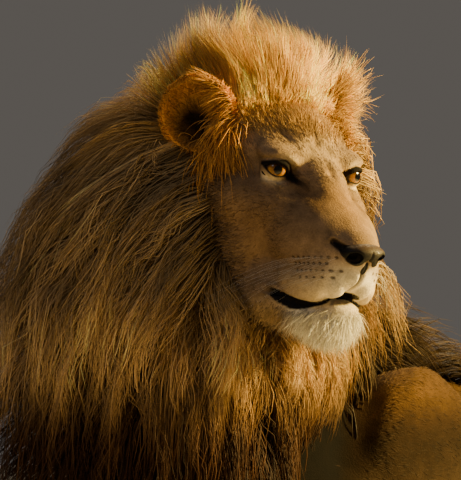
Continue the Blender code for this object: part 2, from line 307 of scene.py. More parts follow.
def relaxed(points: Array, edges: Array, share: float, rounds: int, hold: Array | None = None) -> Array:
    """Moves each point towards the middle of its neighbours.

    Args:
        points: The vertices.
        edges: Pairs of neighbours.
        share: How far each round moves.
        rounds: How many rounds.
        hold: How free each point is, from 0 to 1, or None for all free.

    Returns:
        The moved points.
    """
    count = len(points)
    degree = np.bincount(edges.ravel(), minlength=count)[:, None]
    freedom = share if hold is None else share * hold[:, None]
    for _ in range(rounds):
        total = np.empty_like(points)
        for axis in range(3):
            total[:, axis] = np.bincount(
                edges[:, 0], points[edges[:, 1], axis], count
            ) + np.bincount(edges[:, 1], points[edges[:, 0], axis], count)
        points = points + freedom * (total / np.maximum(degree, 1) - points)
    return points


def paint(obj: bpy.types.Object, colours: Array, name: str = TINT) -> None:
    """Stores a colour for each vertex."""
    layer = obj.data.color_attributes.new(name, "FLOAT_COLOR", "POINT")
    flat = np.ones((len(colours), 4), np.float32)
    flat[:, :3] = colours
    layer.data.foreach_set("color", flat.ravel())


def store(obj: bpy.types.Object, values: Array, name: str) -> None:
    """Stores a number for each vertex."""
    layer = obj.data.attributes.new(name, "FLOAT", "POINT")
    layer.data.foreach_set("value", values.astype(np.float32))


# ---------------------------------------------------------------- masses of clay
@dataclass(frozen=True)
class Ball:
    """A stretched ball of flesh, its front end turned down by the dip."""

    centre: Triple
    radii: Triple
    dip: float = 0.0
    blend: float = 0.014

    def distance(self, points: Array) -> Array:
        """How far points are outside, nearly."""
        offset = points - np.array(self.centre)
        angle = math.radians(self.dip)
        ahead = offset[:, 0] * math.cos(angle) - offset[:, 2] * math.sin(angle)
        above = offset[:, 0] * math.sin(angle) + offset[:, 2] * math.cos(angle)
        local = np.stack([ahead, offset[:, 1], above], 1)
        radii = np.array(self.radii)
        first = np.linalg.norm(local / radii, axis=1)
        second = np.linalg.norm(local / radii**2, axis=1)
        return first * (first - 1.0) / np.maximum(second, 1e-6)

    def add(self, side: int) -> bpy.types.Object:
        """Adds it as a primitive, on the side given."""
        ahead, out, above = self.centre
        bpy.ops.mesh.primitive_uv_sphere_add(
            segments=28,
            ring_count=14,
            radius=1.0,
            location=(ahead, side * out, above),
            rotation=(0.0, math.radians(self.dip), 0.0),
            scale=self.radii,
        )
        return bpy.context.object


@dataclass(frozen=True)
class Bar:
    """The hull round two balls: a bone with the flesh on it."""

    start: Triple
    start_radius: float
    end: Triple
    end_radius: float
    blend: float = 0.016

    def distance(self, points: Array) -> Array:
        """How far points are outside, nearly."""
        start, end = np.array(self.start), np.array(self.end)
        run = end - start
        share = np.clip(((points - start) @ run) / (run @ run), 0.0, 1.0)
        gap = np.linalg.norm(points - start - share[:, None] * run, axis=1)
        return gap - (self.start_radius + share * (self.end_radius - self.start_radius))

    def add(self, side: int) -> bpy.types.Object:
        """Adds it as the convex hull of two primitives, on the side given."""
        ends = []
        for place, radius in ((self.start, self.start_radius), (self.end, self.end_radius)):
            bpy.ops.mesh.primitive_uv_sphere_add(
                segments=20,
                ring_count=12,
                radius=radius,
                location=(place[0], side * place[1], place[2]),
            )
            ends.append(bpy.context.object)
        pick(*ends)
        bpy.ops.object.join()
        with editing(ends[0]):
            bpy.ops.mesh.convex_hull()
        return ends[0]


@dataclass(frozen=True)
class EarCup:
    """A round ear: a shell on the corner of the skull, open forwards and outwards."""

    place: Triple = (-0.108, 0.121, 0.058)
    turn: float = 38.0
    lean: float = 20.0
    outer_centre: Triple = (-0.014, 0.0, 0.0)
    outer: Triple = (0.037, 0.055, 0.057)
    hollow_centre: Triple = (0.022, 0.0, 0.002)
    hollow: Triple = (0.046, 0.049, 0.050)
    blend: float = 0.012

    def spin(self, side: int) -> Matrix:
        """How the ear is turned."""
        turn = Matrix.Rotation(math.radians(side * self.turn), 4, "Z")
        return turn @ Matrix.Rotation(math.radians(-side * self.lean), 4, "X")

    def to_ear(self, points: Array) -> Array:
        """Points of the head's frame in the left ear's own: ahead is out of the opening."""
        spin = np.array(self.spin(1))[:3, :3]
        return (points - np.array(self.place)) @ spin

    def turned_out(self, vectors: Array) -> Array:
        """Directions of the left ear's frame in the head's."""
        return vectors @ np.array(self.spin(1))[:3, :3].T

    def distance(self, points: Array) -> Array:
        """How far points are outside the shell, nearly."""
        local = self.to_ear(points)
        shell = Ball(self.outer_centre, self.outer).distance(local)
        room = Ball(self.hollow_centre, self.hollow).distance(local)
        return -soft_least(-shell, room, 0.004)

    def add(self, side: int) -> bpy.types.Object:
        """Adds it as one ball with another cut out of it."""
        ahead, out, above = self.place
        spot = Matrix.Translation((ahead, side * out, above)) @ self.spin(side)
        pieces = []
        for centre, radii in ((self.outer_centre, self.outer), (self.hollow_centre, self.hollow)):
            bpy.ops.mesh.primitive_uv_sphere_add(
                segments=36, ring_count=18, radius=1.0, location=centre, scale=radii
            )
            pieces.append(bpy.context.object)
            pieces[-1].matrix_world = spot @ pieces[-1].matrix_basis
        cup, room = pieces
        apply_modifier(cup, "BOOLEAN", operation="DIFFERENCE", object=room, solver="MANIFOLD")
        bpy.data.objects.remove(room)
        return cup


Mass = Ball | Bar | EarCup


def fused(points: Array, masses: Sequence[Mass]) -> Array:
    """How far points are outside masses that run into one another, nearly."""
    total = masses[0].distance(points)
    for mass in masses[1:]:
        total = soft_least(total, mass.distance(points), mass.blend)
    return total


def on_both_sides(masses: Sequence[Mass]) -> list[bpy.types.Object]:
    """Adds masses as primitives: those off the middle plane twice, left and right."""
    parts = []
    for mass in masses:
        off_middle = not isinstance(mass, Ball) or mass.centre[1]
        parts += [mass.add(side) for side in ((1, -1) if off_middle else (1,))]
    return parts


# On the middle plane of the head.
MIDDLE_MASSES: tuple[Mass, ...] = (
    Ball((-0.135, 0, -0.006), (0.120, 0.088, 0.083)),
    Ball((-0.055, 0, 0.008), (0.076, 0.080, 0.056), 25),
    Ball((-0.020, 0, -0.060), (0.080, 0.092, 0.070)),
    Ball((-0.056, 0, 0.032), (0.068, 0.066, 0.050), 14, 0.020),
    Ball((0.022, 0, -0.014), (0.060, 0.041, 0.034), 38),
    Ball((0.078, 0, -0.063), (0.084, 0.038, 0.031), 33),
    Ball((0.121, 0, -0.096), (0.036, 0.036, 0.030)),
    Ball((0.080, 0, -0.112), (0.060, 0.052, 0.044)),
    Ball((-0.030, 0, -0.140), (0.120, 0.066, 0.058), 0, 0.030),
    Ball((-0.125, 0, -0.080), (0.090, 0.085, 0.085), 0, 0.030),
)
# In pairs, given on the left.
PAIRED_MASSES: tuple[Mass, ...] = (
    Ball((-0.004, 0.050, 0.021), (0.031, 0.036, 0.018), 18, 0.012),
    Ball((-0.092, 0.056, 0.020), (0.076, 0.048, 0.050), 0, 0.020),
    Ball((0.036, 0.042, -0.080), (0.065, 0.037, 0.045), 30),
    Ball((0.068, 0.031, -0.078), (0.060, 0.029, 0.036), 34, 0.018),
    Ball((-0.075, 0.070, -0.095), (0.075, 0.047, 0.082), 0, 0.024),
    Ball((0.0, 0.062, 0.0), (0.0215, 0.0215, 0.0215), 0, 0.010),
    Bar((0.008, 0.062, -0.048), 0.025, (-0.045, 0.088, -0.046), 0.029, 0.022),
    Bar((-0.045, 0.088, -0.046), 0.029, (-0.110, 0.096, -0.036), 0.028, 0.022),
    EarCup(),
)
# The lips and the lower jaw keep a crease between them.
UPPER_LIP_MASSES: tuple[Mass, ...] = (
    Ball((0.116, 0, -0.127), (0.028, 0.030, 0.020), 0, 0.010),
    Ball((0.108, 0.0225, -0.141), (0.0255, 0.0185, 0.020), 0, 0.006),
    Ball((0.084, 0.027, -0.124), (0.045, 0.030, 0.034), 0, 0.010),
    Ball((0.056, 0.041, -0.144), (0.058, 0.025, 0.028), 8, 0.010),
)
JAW_MASSES: tuple[Mass, ...] = (
    Ball((0.083, 0, -0.190), (0.034, 0.032, 0.031), 0, 0.010),
    Ball((0.100, 0, -0.177), (0.022, 0.026, 0.012), 0, 0.008),
    Bar((0.080, 0.020, -0.180), 0.028, (0.010, 0.045, -0.175), 0.034, 0.014),
    Bar((0.010, 0.045, -0.175), 0.034, (-0.090, 0.070, -0.135), 0.046, 0.020),
)

# Flesh of the body that the mane hides, in the world's frame.
HIDDEN_BODY: tuple[Mass, ...] = (
    Ball((0.0, -0.20, 0.34), (0.185, 0.300, 0.260)),
    Bar((0.110, -0.545, 0.900), 0.086, (0.000, -0.545, 0.800), 0.150),
    Bar((0.000, -0.545, 0.800), 0.150, (-0.015, -0.505, 0.640), 0.200),
    Bar((-0.015, -0.505, 0.640), 0.200, (-0.015, -0.500, 0.480), 0.190),
    Bar((-0.015, -0.500, 0.480), 0.190, (0.000, -0.400, 0.320), 0.180),
    Bar((0.000, -0.280, 0.500), 0.130, (0.000, 0.020, 0.470), 0.130),
    Bar((0.000, 0.020, 0.450), 0.140, (0.000, 0.600, 0.390), 0.138),
)
HIDDEN_SIDES: tuple[Mass, ...] = (
    Ball((0.120, -0.26, 0.44), (0.070, 0.160, 0.190)),
    Bar((0.140, -0.42, 0.340), 0.100, (0.200, -0.24, 0.135), 0.092),
    Bar((0.200, -0.24, 0.135), 0.092, (0.198, -0.46, 0.080), 0.068),
)


def across(mass: Ball | Bar) -> Ball | Bar:
    """The same mass on the other side of the body."""
    mirror = np.array((-1.0, 1.0, 1.0))
    if isinstance(mass, Ball):
        return replace(mass, centre=tuple(np.array(mass.centre) * mirror))
    return replace(mass, start=tuple(np.array(mass.start) * mirror), end=tuple(np.array(mass.end) * mirror))


# ---------------------------------------------------------------- where an eye sits
@dataclass(frozen=True)
class EyeSeat:
    """The left eye's place: the gaze, the slit between the lids and its corners."""

    centre: Triple = (0.0, 0.062, 0.0)
    ball: float = 0.0185
    yaw: float = 17.0
    slant: float = 13.0
    inner: float = 0.0172
    outer: float = 0.0168
    upper_height: float = 0.0078
    lower_height: float = 0.0078

    def axes(self) -> Array:
        """Rows: along the gaze, outwards along the slit, and up across it."""
        yaw, slant = math.radians(self.yaw), math.radians(self.slant)
        gaze = np.array([math.cos(yaw), math.sin(yaw), 0.0])
        level = np.array([-math.sin(yaw), math.cos(yaw), 0.0])
        outwards = math.cos(slant) * level + math.sin(slant) * np.array([0.0, 0.0, 1.0])
        return np.array([gaze, outwards, np.cross(gaze, outwards)])

    def to_eye(self, points: Array) -> Array:
        """Points of the head's frame along the gaze, outwards and up."""
        return (points - np.array(self.centre)) @ self.axes().T

    def edges(self, share: Array) -> tuple[Array, Array]:
        """How high the upper and the lower lid's edges are, along the slit from its inner corner."""
        top = self.upper_height * np.sin(math.pi * share**0.82) ** 0.85
        low = -self.lower_height * np.sin(math.pi * share**1.05) ** 0.80
        return top, low

    def outline(self, count: int) -> Array:
        """The slit's edge, anticlockwise from its outer corner, as outwards and up.

        Args:
            count: How many points go round.

        Returns:
            The points in rows.
        """
        turn = np.arange(count) / count * 2 * math.pi
        reach = np.where(np.cos(turn) > 0, self.outer, self.inner) * np.cos(turn)
        top, low = self.edges((reach + self.inner) / (self.inner + self.outer))
        return np.stack([reach, np.where(np.sin(turn) >= 0, top, low)], 1)

    def rim_gap(self, points: Array) -> Array:
        """How far points of the head's frame are from the slit's edge: negative inside it."""
        place = self.to_eye(points)
        flat = np.column_stack([np.zeros(len(place)), place[:, 1:]])
        edge = self.outline(48)
        gap, _ = beside_line(flat, [(0.0, *point) for point in np.vstack([edge, edge[:1]])])
        share = np.clip((place[:, 1] + self.inner) / (self.inner + self.outer), 0.0, 1.0)
        top, low = self.edges(share)
        within = (share > 0.0) & (share < 1.0) & (place[:, 2] < top) & (place[:, 2] > low)
        return np.where(within, -gap, gap)

    def gap_within(self, points: Array, reach: float, beyond: float) -> Array:
        """The gap from the slit's edge at points near the eye, and a fixed one farther off.

        Args:
            points: Points of the head's frame.
            reach: How far from the eye's centre the gap is worked out.
            beyond: The gap given to the rest.

        Returns:
            A gap for each.
        """
        near = away(points, self.centre) < reach
        gap = np.full(len(points), beyond)
        gap[near] = self.rim_gap(points[near])
        return gap


EYE = EyeSeat()
EAR = EarCup()

# The mouth: height of the line between the lips against how far ahead, and its half opening.
MOUTH_AHEAD = (0.000, 0.030, 0.065, 0.080, 0.096)
MOUTH_HEIGHT = (-0.155, -0.1585, -0.166, -0.169, -0.1705)
RISE_OUT = (0.000, 0.008, 0.0145, 0.022, 0.030, 0.040)
RISE_HEIGHT = (0.017, 0.016, 0.0125, 0.007, 0.003, 0.000)
TEAR_LINE: tuple[Triple, ...] = (
    (0.0139, 0.0455, -0.0072),
    (0.0204, 0.0395, -0.0115),
    (0.0307, 0.038, -0.0144),
    (0.0408, 0.035, -0.0172),
    (0.056, 0.0345, -0.029),
)
WHISKER_ROWS: tuple[tuple[Triple, Triple, int], ...] = (
    ((0.072, 0.062, -0.112), (0.129, 0.034, -0.1045), 8),
    ((0.074, 0.061, -0.120), (0.120, 0.044, -0.114), 7),
    ((0.080, 0.060, -0.1285), (0.132, 0.030, -0.122), 8),
    ((0.088, 0.056, -0.137), (0.126, 0.034, -0.132), 5),
)


def whisker_roots() -> Iterator[tuple[int, float, Array]]:
    """Each whisker's row, its share of the row from back to front, and its place on the left."""
    for row, (first, last, count) in enumerate(WHISKER_ROWS):
        for step in range(count):
            share = step / (count - 1)
            yield row, share, mix(np.array(first), np.array(last), share)


def mouth_gap(local: Array) -> Array:
    """How far folded points of the head are above the upper lip's edge, which rises in front."""
    rise = np.interp(local[:, 1], RISE_OUT, RISE_HEIGHT) * ramp(local[:, 0], 0.080, 0.104)
    return local[:, 2] - np.interp(local[:, 0], MOUTH_AHEAD, MOUTH_HEIGHT) - rise


def lips_share(local: Array) -> Array:
    """1 where the mouth reaches, 0 behind its corner and off the muzzle."""
    side = ramp(local[:, 0], 0.022, 0.038)
    return side * ramp(local[:, 2], -0.205, -0.195) * fade(local[:, 2], -0.136, -0.126)


def dark_lip(local: Array) -> Array:
    """1 on the bare black skin of the lips."""
    gap = mouth_gap(local)
    ahead = local[:, 0]
    below = np.interp(ahead, (0.028, 0.045, 0.065, 0.080, 0.096, 0.110),
                      (0.005, 0.013, 0.017, 0.012, 0.0045, 0.0035))
    below = below + 0.009 * ramp(ahead, 0.100, 0.112) * fade(local[:, 1], 0.010, 0.024)
    above = np.interp(ahead, (0.01, 0.03, 0.10, 0.130), (0.002, 0.0016, 0.0012, 0.0024))
    band = ramp(gap, -below - 0.0012, -below + 0.0008) * fade(gap, above, above + 0.0016)
    return band * lips_share(local)


def tear_gap(local: Array) -> tuple[Array, Array]:
    """How far folded points are from the tear line, and how far along it, from the eye down."""
    squash = np.array((1.0, 0.45, 1.0))
    return beside_line(local * squash, [tuple(np.array(point) * squash) for point in TEAR_LINE])


def hairline(local: Array) -> Array:
    """How far folded points of the head are in front of where the mane begins."""
    edge = np.interp(
        local[:, 2],
        (-0.240, -0.222, -0.213, -0.184, -0.118, -0.050, 0.020, 0.055, 0.080, 0.100),
        (0.150, 0.105, 0.012, -0.012, -0.038, -0.055, -0.063, -0.064, -0.060, -0.056),
    )
    return local[:, 0] - edge


# ---------------------------------------------------------------- the skin
@dataclass
class Skin:
    """One closed skin from the nose to the tail, a coat's depth inside the CAD outline."""

    frame: HeadFrame
    nodes: dict[str, bpy.types.Object]
    head_voxel: float = 0.003
    head_keep: float = 0.72
    body_voxel: float = 0.009
    body_keep: float = 0.40
    head_inset: float = 0.0022
    body_inset: float = 0.006

    FLESH = (
        "head", "jaw", "trunk", "tail", "ear_left", "ear_right",
        "foreleg_left", "foreleg_right", "forepaw_left", "forepaw_right",
        "hindleg_left", "hindleg_right", "hindpaw_left", "hindpaw_right",
    )
    HEAD_NODES = ("head", "jaw", "ear_left", "ear_right")
    LID_CUT = 0.040  # how far the cut between the lids reaches forwards
    SAME_PLACE = 0.00001  # vertices nearer to each other than this are one
    ON_FLOOR = 0.0003  # the lowest that the skin comes

    def build(self) -> bpy.types.Object:
        """Makes the head and the body, joins them and unwraps the whole."""
        head = self.make_head()
        body = self.make_body()
        apply_modifier(body, "BOOLEAN", operation="UNION", object=head, solver="MANIFOLD")
        bpy.data.objects.remove(head)
        body.name = body.data.name = "skin"
        apply_modifier(body, "TRIANGULATE")
        smooth_shaded(body)
        self.unwrap(body)
        return body

    def head_distance(self, points: Array) -> Array:
        """How far points of the head's frame are outside its flesh, nearly."""
        local = folded(points)
        lips = fused(local, MIDDLE_MASSES + PAIRED_MASSES + UPPER_LIP_MASSES)
        jaw = fused(local, JAW_MASSES)
        crease = 0.020 - 0.016 * ramp(local[:, 0], 0.000, 0.040)
        return soft_least(lips, jaw, crease) + self.head_inset

    def settled(self, points: Array, rounds: int) -> Array:
        """Moves points of the head's frame onto its flesh.

        Args:
            points: The points in rows.
            rounds: How many steps to take.

        Returns:
            The moved points.
        """
        step = 0.0004
        for _ in range(rounds):
            here = self.head_distance(points)
            slope = np.empty_like(points)
            for axis in range(3):
                beside = points.copy()
                beside[:, axis] += step
                slope[:, axis] = (self.head_distance(beside) - here) / step
            steep = np.maximum((slope**2).sum(1), 0.25)
            move = np.clip(here / steep, -0.004, 0.004)
            points = points - move[:, None] * slope
        return points

    def make_head(self) -> bpy.types.Object:
        """The head's flesh: fused masses, then the folds, lids and lips."""
        masses = MIDDLE_MASSES + UPPER_LIP_MASSES + JAW_MASSES + PAIRED_MASSES
        head = joined("head_flesh", on_both_sides(masses))
        apply_modifier(head, "REMESH", mode="VOXEL", voxel_size=self.head_voxel)
        self.keep_outside(head)
        points = self.settled(read_points(head), 3)
        points = relaxed(points, read_edges(head), 0.5, 3)
        write_points(head, self.settled(points, 2))
        self.refine(head)
        points = self.settled(read_points(head), 2)
        points = relaxed(points, read_edges(head), 0.5, 1)
        write_points(head, self.settled(points, 2))
        self.sculpt(head)
        for side in (1, -1):
            self.open_lids(head, side)
        self.soften_rims(head)
        self.thin_hidden(head)
        head.data.transform(self.frame.matrix())
        return head

    def thin_hidden(self, head: bpy.types.Object) -> None:
        """Thins the mesh at the back of the head, where the mane hides it."""
        local = folded(read_points(head))
        ear = away(local, EAR.place) < 0.064
        hidden = (hairline(local) < -0.020) & ~ear
        group = head.vertex_groups.new(name="hidden")
        group.add([int(index) for index in np.flatnonzero(hidden)], 1.0, "REPLACE")
        apply_modifier(head, "DECIMATE", ratio=self.head_keep, vertex_group="hidden")
        head.vertex_groups.clear()

    def keep_outside(self, obj: bpy.types.Object) -> None:
        """Removes closed pockets inside a body, keeping its largest shell."""
        with editing(obj):
            bpy.ops.mesh.separate(type="LOOSE")
        shells = sorted(bpy.context.selected_objects, key=lambda shell: -len(shell.data.vertices))
        if shells[0] is not obj:
            obj.data = shells[0].data
        for shell in shells:
            if shell is not obj:
                bpy.data.objects.remove(shell)

    def refine(self, head: bpy.types.Object) -> None:
        """Doubles the mesh where the folds are fine: round the eyes, the nose and the lips."""
        middles = np.array([face.center for face in head.data.polygons], float)
        local = folded(middles)
        eye = np.linalg.norm(local - np.array(EYE.centre) - (0.010, 0, 0), axis=1) < 0.033
        lips = (np.abs(mouth_gap(local)) < 0.010) & (local[:, 0] > 0.004) & (local[:, 0] < 0.16)
        pads = (local[:, 0] > 0.040) & (local[:, 2] < -0.095) & (local[:, 2] > -0.17)
        nose = (local[:, 0] > 0.118) & (local[:, 2] > -0.150)
        ear = away(local, EAR.place) < 0.060
        pick_none()
        bpy.context.view_layer.objects.active = head
        chosen = eye | lips | nose | pads | (ear & (EAR.to_ear(local)[:, 0] > -0.012))
        for parts in (head.data.vertices, head.data.edges):
            parts.foreach_set("select", np.zeros(len(parts), bool))
        head.data.polygons.foreach_set("select", chosen)
        head.select_set(True)
        bpy.ops.object.mode_set(mode="EDIT")
        bpy.ops.mesh.select_mode(type="FACE")
        bpy.ops.mesh.subdivide(number_cuts=1)
        bpy.ops.mesh.select_all(action="SELECT")
        bpy.ops.mesh.quads_convert_to_tris()
        bpy.ops.object.mode_set(mode="OBJECT")

    def sculpt(self, head: bpy.types.Object) -> None:
        """Presses the folds of the face into the head, along its normals."""
        points, normals = read_points(head), read_normals(head)
        points = points + normals * self.relief(folded(points))[:, None]
        write_points(head, relaxed(points, read_edges(head), 0.35, 1))

    def relief(self, local: Array) -> Array:
        """How far the folds stand out of the flesh at folded points of the head, in metres."""
        return self.eye_folds(local) + self.brow_folds(local) + self.muzzle_folds(local)

    def eye_folds(self, local: Array) -> Array:
        """The lids, the bag under them, the socket's hollow and the tear line."""
        place = EYE.to_eye(local)
        front = ramp(place[:, 0], -0.004, 0.006)
        gap = EYE.gap_within(local, 0.060, 0.05)
        out, up = place[:, 1], place[:, 2]
        above = up > 0.0
        lid = bell(gap, 0.0026, 0.0025) * np.where(above, 0.0016, 0.001)
        crease = -bell(gap, 0.0028, 0.0085) * np.where(above, 0.0026, 0.0016)
        bag = bell(gap, 0.004, 0.0135) * np.where(above, 0.0, 0.0018)
        under = -bell(gap, 0.005, 0.0215) * np.where(above, 0.0, 0.0014)
        hood = bell(gap, 0.006, 0.016) * np.where(above, 0.0026, 0.0)
        hood *= fade(out, 0.006, 0.022)
        folds = (lid + crease + bag + under + hood) * front
        hollow = -0.0026 * np.exp(-(((out + 0.027) / 0.009) ** 2) - ((up - 0.004) / 0.016) ** 2)
        tear, share = tear_gap(local)
        depth = 0.0026 * (1.0 - 0.8 * share)
        return folds + hollow - depth * bell(tear, 0.0032)

    def brow_folds(self, local: Array) -> Array:
        """The furrow down the forehead, the brows beside it and the hollow of the temples."""
        furrow, share = beside_line(local, ((0.052, 0, 0.004), (0.020, 0, 0.038), (-0.06, 0, 0.068)))
        middle = -0.0046 * bell(furrow, 0.006) * fade(share, 0.6, 1.0)
        inner = 0.003 * hill(local, (0.016, 0.026, 0.032), (0.022, 0.011, 0.014))
        frown, _ = beside_line(local, ((0.030, 0.030, 0.016), (0.012, 0.036, 0.036), (-0.02, 0.044, 0.05)))
        wrinkle = -0.0026 * bell(frown, 0.003)
        temple = -0.004 * hill(local, (-0.045, 0.082, 0.010), (0.026, 0.020, 0.022))
        return middle + inner + wrinkle + temple

    def muzzle_folds(self, local: Array) -> Array:
        """The whisker pads, the lips with the line between them, the chin and the nose's edge."""
        gap, ahead = mouth_gap(local), local[:, 0]
        share = lips_share(local)
        front = ramp(ahead, 0.105, 0.126)
        corner = fade(ahead, 0.035, 0.060)
        depth = 0.0026 + 0.0022 * front + 0.003 * corner
        half = 0.0011 + 0.0016 * front + 0.0026 * corner
        centre = -half * 0.8 - 0.003 * front * fade(local[:, 1], 0.008, 0.022)
        groove = -depth * np.exp(-(((gap - centre) / half) ** 4))
        over = 0.0022 * bell(gap, 0.0042, 0.005)
        under = -0.0026 * bell(gap, 0.005, -0.0065) * (1.0 - 0.6 * corner)
        lips = (groove + over + under) * share
        philtrum = -0.0046 * bell(local[:, 1], 0.0024)
        philtrum *= ramp(ahead, 0.105, 0.120) * ramp(local[:, 2], -0.158, -0.150)
        philtrum *= fade(local[:, 2], -0.110, -0.100)
        pad = 0.0036 * hill(local, (0.088, 0.050, -0.132), (0.030, 0.024, 0.020))
        rows = 0.0
        for start, end, _ in WHISKER_ROWS:
            beside, _ = beside_line(local, (start, end))
            rows = rows - 0.0007 * bell(beside, 0.0026)
        border, _ = beside_line(
            local, ((0.052, 0.052, -0.060), (0.090, 0.046, -0.086), (0.118, 0.038, -0.086))
        )
        border = -0.0009 * bell(border, 0.006)
        fold, _ = beside_line(
            local, ((-0.004, 0.066, -0.190), (-0.014, 0.074, -0.160), (-0.002, 0.078, -0.125))
        )
        cheek = -0.003 * bell(fold, 0.007)
        chin = 0.002 * hill(local, (0.100, 0.000, -0.195), (0.020, 0.022, 0.014))
        beside_slit = NOSTRIL_SLIT.distance(local)
        slit = -0.004 * fade(beside_slit, 0.0, 0.003)
        wing = 0.0009 * bell(beside_slit, 0.003, 0.0055)
        chin = chin + slit + wing * ramp(local[:, 2], -0.088, -0.080)
        return lips + philtrum + pad + rows + border + cheek + chin

    def open_lids(self, head: bpy.types.Object, side: int) -> None:
        """Cuts the slit between the lids, down to beside the eyeball."""
        axes = EYE.axes()
        edge = EYE.outline(56)
        bpy.ops.mesh.primitive_circle_add(vertices=len(edge), fill_type="NGON")
        cutter = bpy.context.object
        ring = np.array(EYE.centre) + edge[:, :1] * axes[1] + edge[:, 1:] * axes[2]
        ring = (ring + 0.005 * axes[0]) * (1, side, 1)
        write_points(cutter, ring)
        along = Vector(axes[0] * (self.LID_CUT, side * self.LID_CUT, self.LID_CUT))
        with editing(cutter):
            bpy.ops.mesh.extrude_region_move(TRANSFORM_OT_translate={"value": along})
            bpy.ops.mesh.select_all(action="SELECT")
            bpy.ops.mesh.normals_make_consistent(inside=False)
        apply_modifier(head, "BOOLEAN", operation="DIFFERENCE", object=cutter, solver="MANIFOLD")
        bpy.data.objects.remove(cutter)

    def soften_rims(self, head: bpy.types.Object) -> None:
        """Rounds the sharp edge that the slit leaves along the lids."""
        apply_modifier(head, "TRIANGULATE")
        points = read_points(head)
        local = folded(points)
        outer = EYE.to_eye(local)[:, 0] > 0.0065
        free = bell(EYE.gap_within(local, 0.030, 1.0), 0.0016)
        write_points(head, relaxed(points, read_edges(head), 0.5, 2, free * outer))

    def make_body(self) -> bpy.types.Object:
        """The rest of the flesh: copies of the CAD nodes and what the mane hides, fused."""
        parts = []
        for name in self.FLESH:
            if name in self.HEAD_NODES:
                continue
            copy = self.nodes[name].copy()
            copy.data = copy.data.copy()
            copy.parent = None
            bpy.context.scene.collection.objects.link(copy)
            with editing(copy):
                bpy.ops.mesh.remove_doubles(threshold=self.SAME_PLACE)
            parts.append(copy)
        parts += [mass.add(1) for mass in HIDDEN_BODY + HIDDEN_SIDES]
        parts += [across(mass).add(1) for mass in HIDDEN_SIDES]
        parts += [mass.add(1) for mass in self.tail_end()]
        body = joined("body_flesh", parts)
        for key in list(body.keys()):
            del body[key]
        body.data.materials.clear()
        apply_modifier(body, "REMESH", mode="VOXEL", voxel_size=self.body_voxel)
        self.keep_outside(body)
        apply_modifier(body, "SMOOTH", factor=0.5, iterations=36)
        apply_modifier(body, "DISPLACE", strength=-self.body_inset, mid_level=0.0)
        points = read_points(body)
        points[:, 2] = np.maximum(points[:, 2], self.ON_FLOOR)
        write_points(body, relaxed(points, read_edges(body), 0.3, 1))
        apply_modifier(body, "DECIMATE", ratio=self.body_keep)
        return body

    def tail_end(self) -> tuple[Mass, ...]:
        """The flesh inside the tail's tuft."""
        low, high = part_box("tail_tuft")
        middle = (low + high) / 2
        start = (0.470, high.y + 0.03, 0.026)
        return (Bar(start, 0.022, (middle.x, (low.y + high.y) / 2, 0.030), 0.016),)

    def unwrap(self, obj: bpy.types.Object) -> None:
        """Lays the skin out flat, so that every place on it has one of its own."""
        while obj.data.uv_layers:
            obj.data.uv_layers.remove(obj.data.uv_layers[0])
        obj.data.uv_layers.new(name=BAKE_MAP)
        with editing(obj):
            bpy.ops.uv.smart_project(angle_limit=math.radians(66), island_margin=0.001)


# ---------------------------------------------------------------- markings
@dataclass(frozen=True)
class Palette:
    """The coat's and the bare skin's colours, as linear red, green and blue."""

    tawny: Triple = (0.250, 0.156, 0.084)
    golden: Triple = (0.590, 0.320, 0.070)
    rust: Triple = (0.300, 0.125, 0.030)
    brown: Triple = (0.120, 0.062, 0.024)
    umber: Triple = (0.040, 0.022, 0.011)
    black: Triple = (0.009, 0.007, 0.006)
    cream: Triple = (0.700, 0.530, 0.310)
    white: Triple = (0.820, 0.750, 0.620)
    beige: Triple = (0.300, 0.205, 0.110)
    straw: Triple = (0.640, 0.435, 0.215)


PAINTS = Palette()


def tone(name: str) -> Array:
    """A colour of the palette."""
    return np.array(getattr(PAINTS, name))


Layer = tuple[str, float | Triple, Array]


def layered(colour: Array, *layers: Layer) -> Array:
    """Lays colours of the palette over one another.

    Args:
        colour: What lies below them.
        layers: For each its name, what it is multiplied by, and how much it covers.

    Returns:
        The colour that shows.
    """
    for name, factor, cover in layers:
        colour = mix(colour, tone(name) * factor, cover)
    return colour


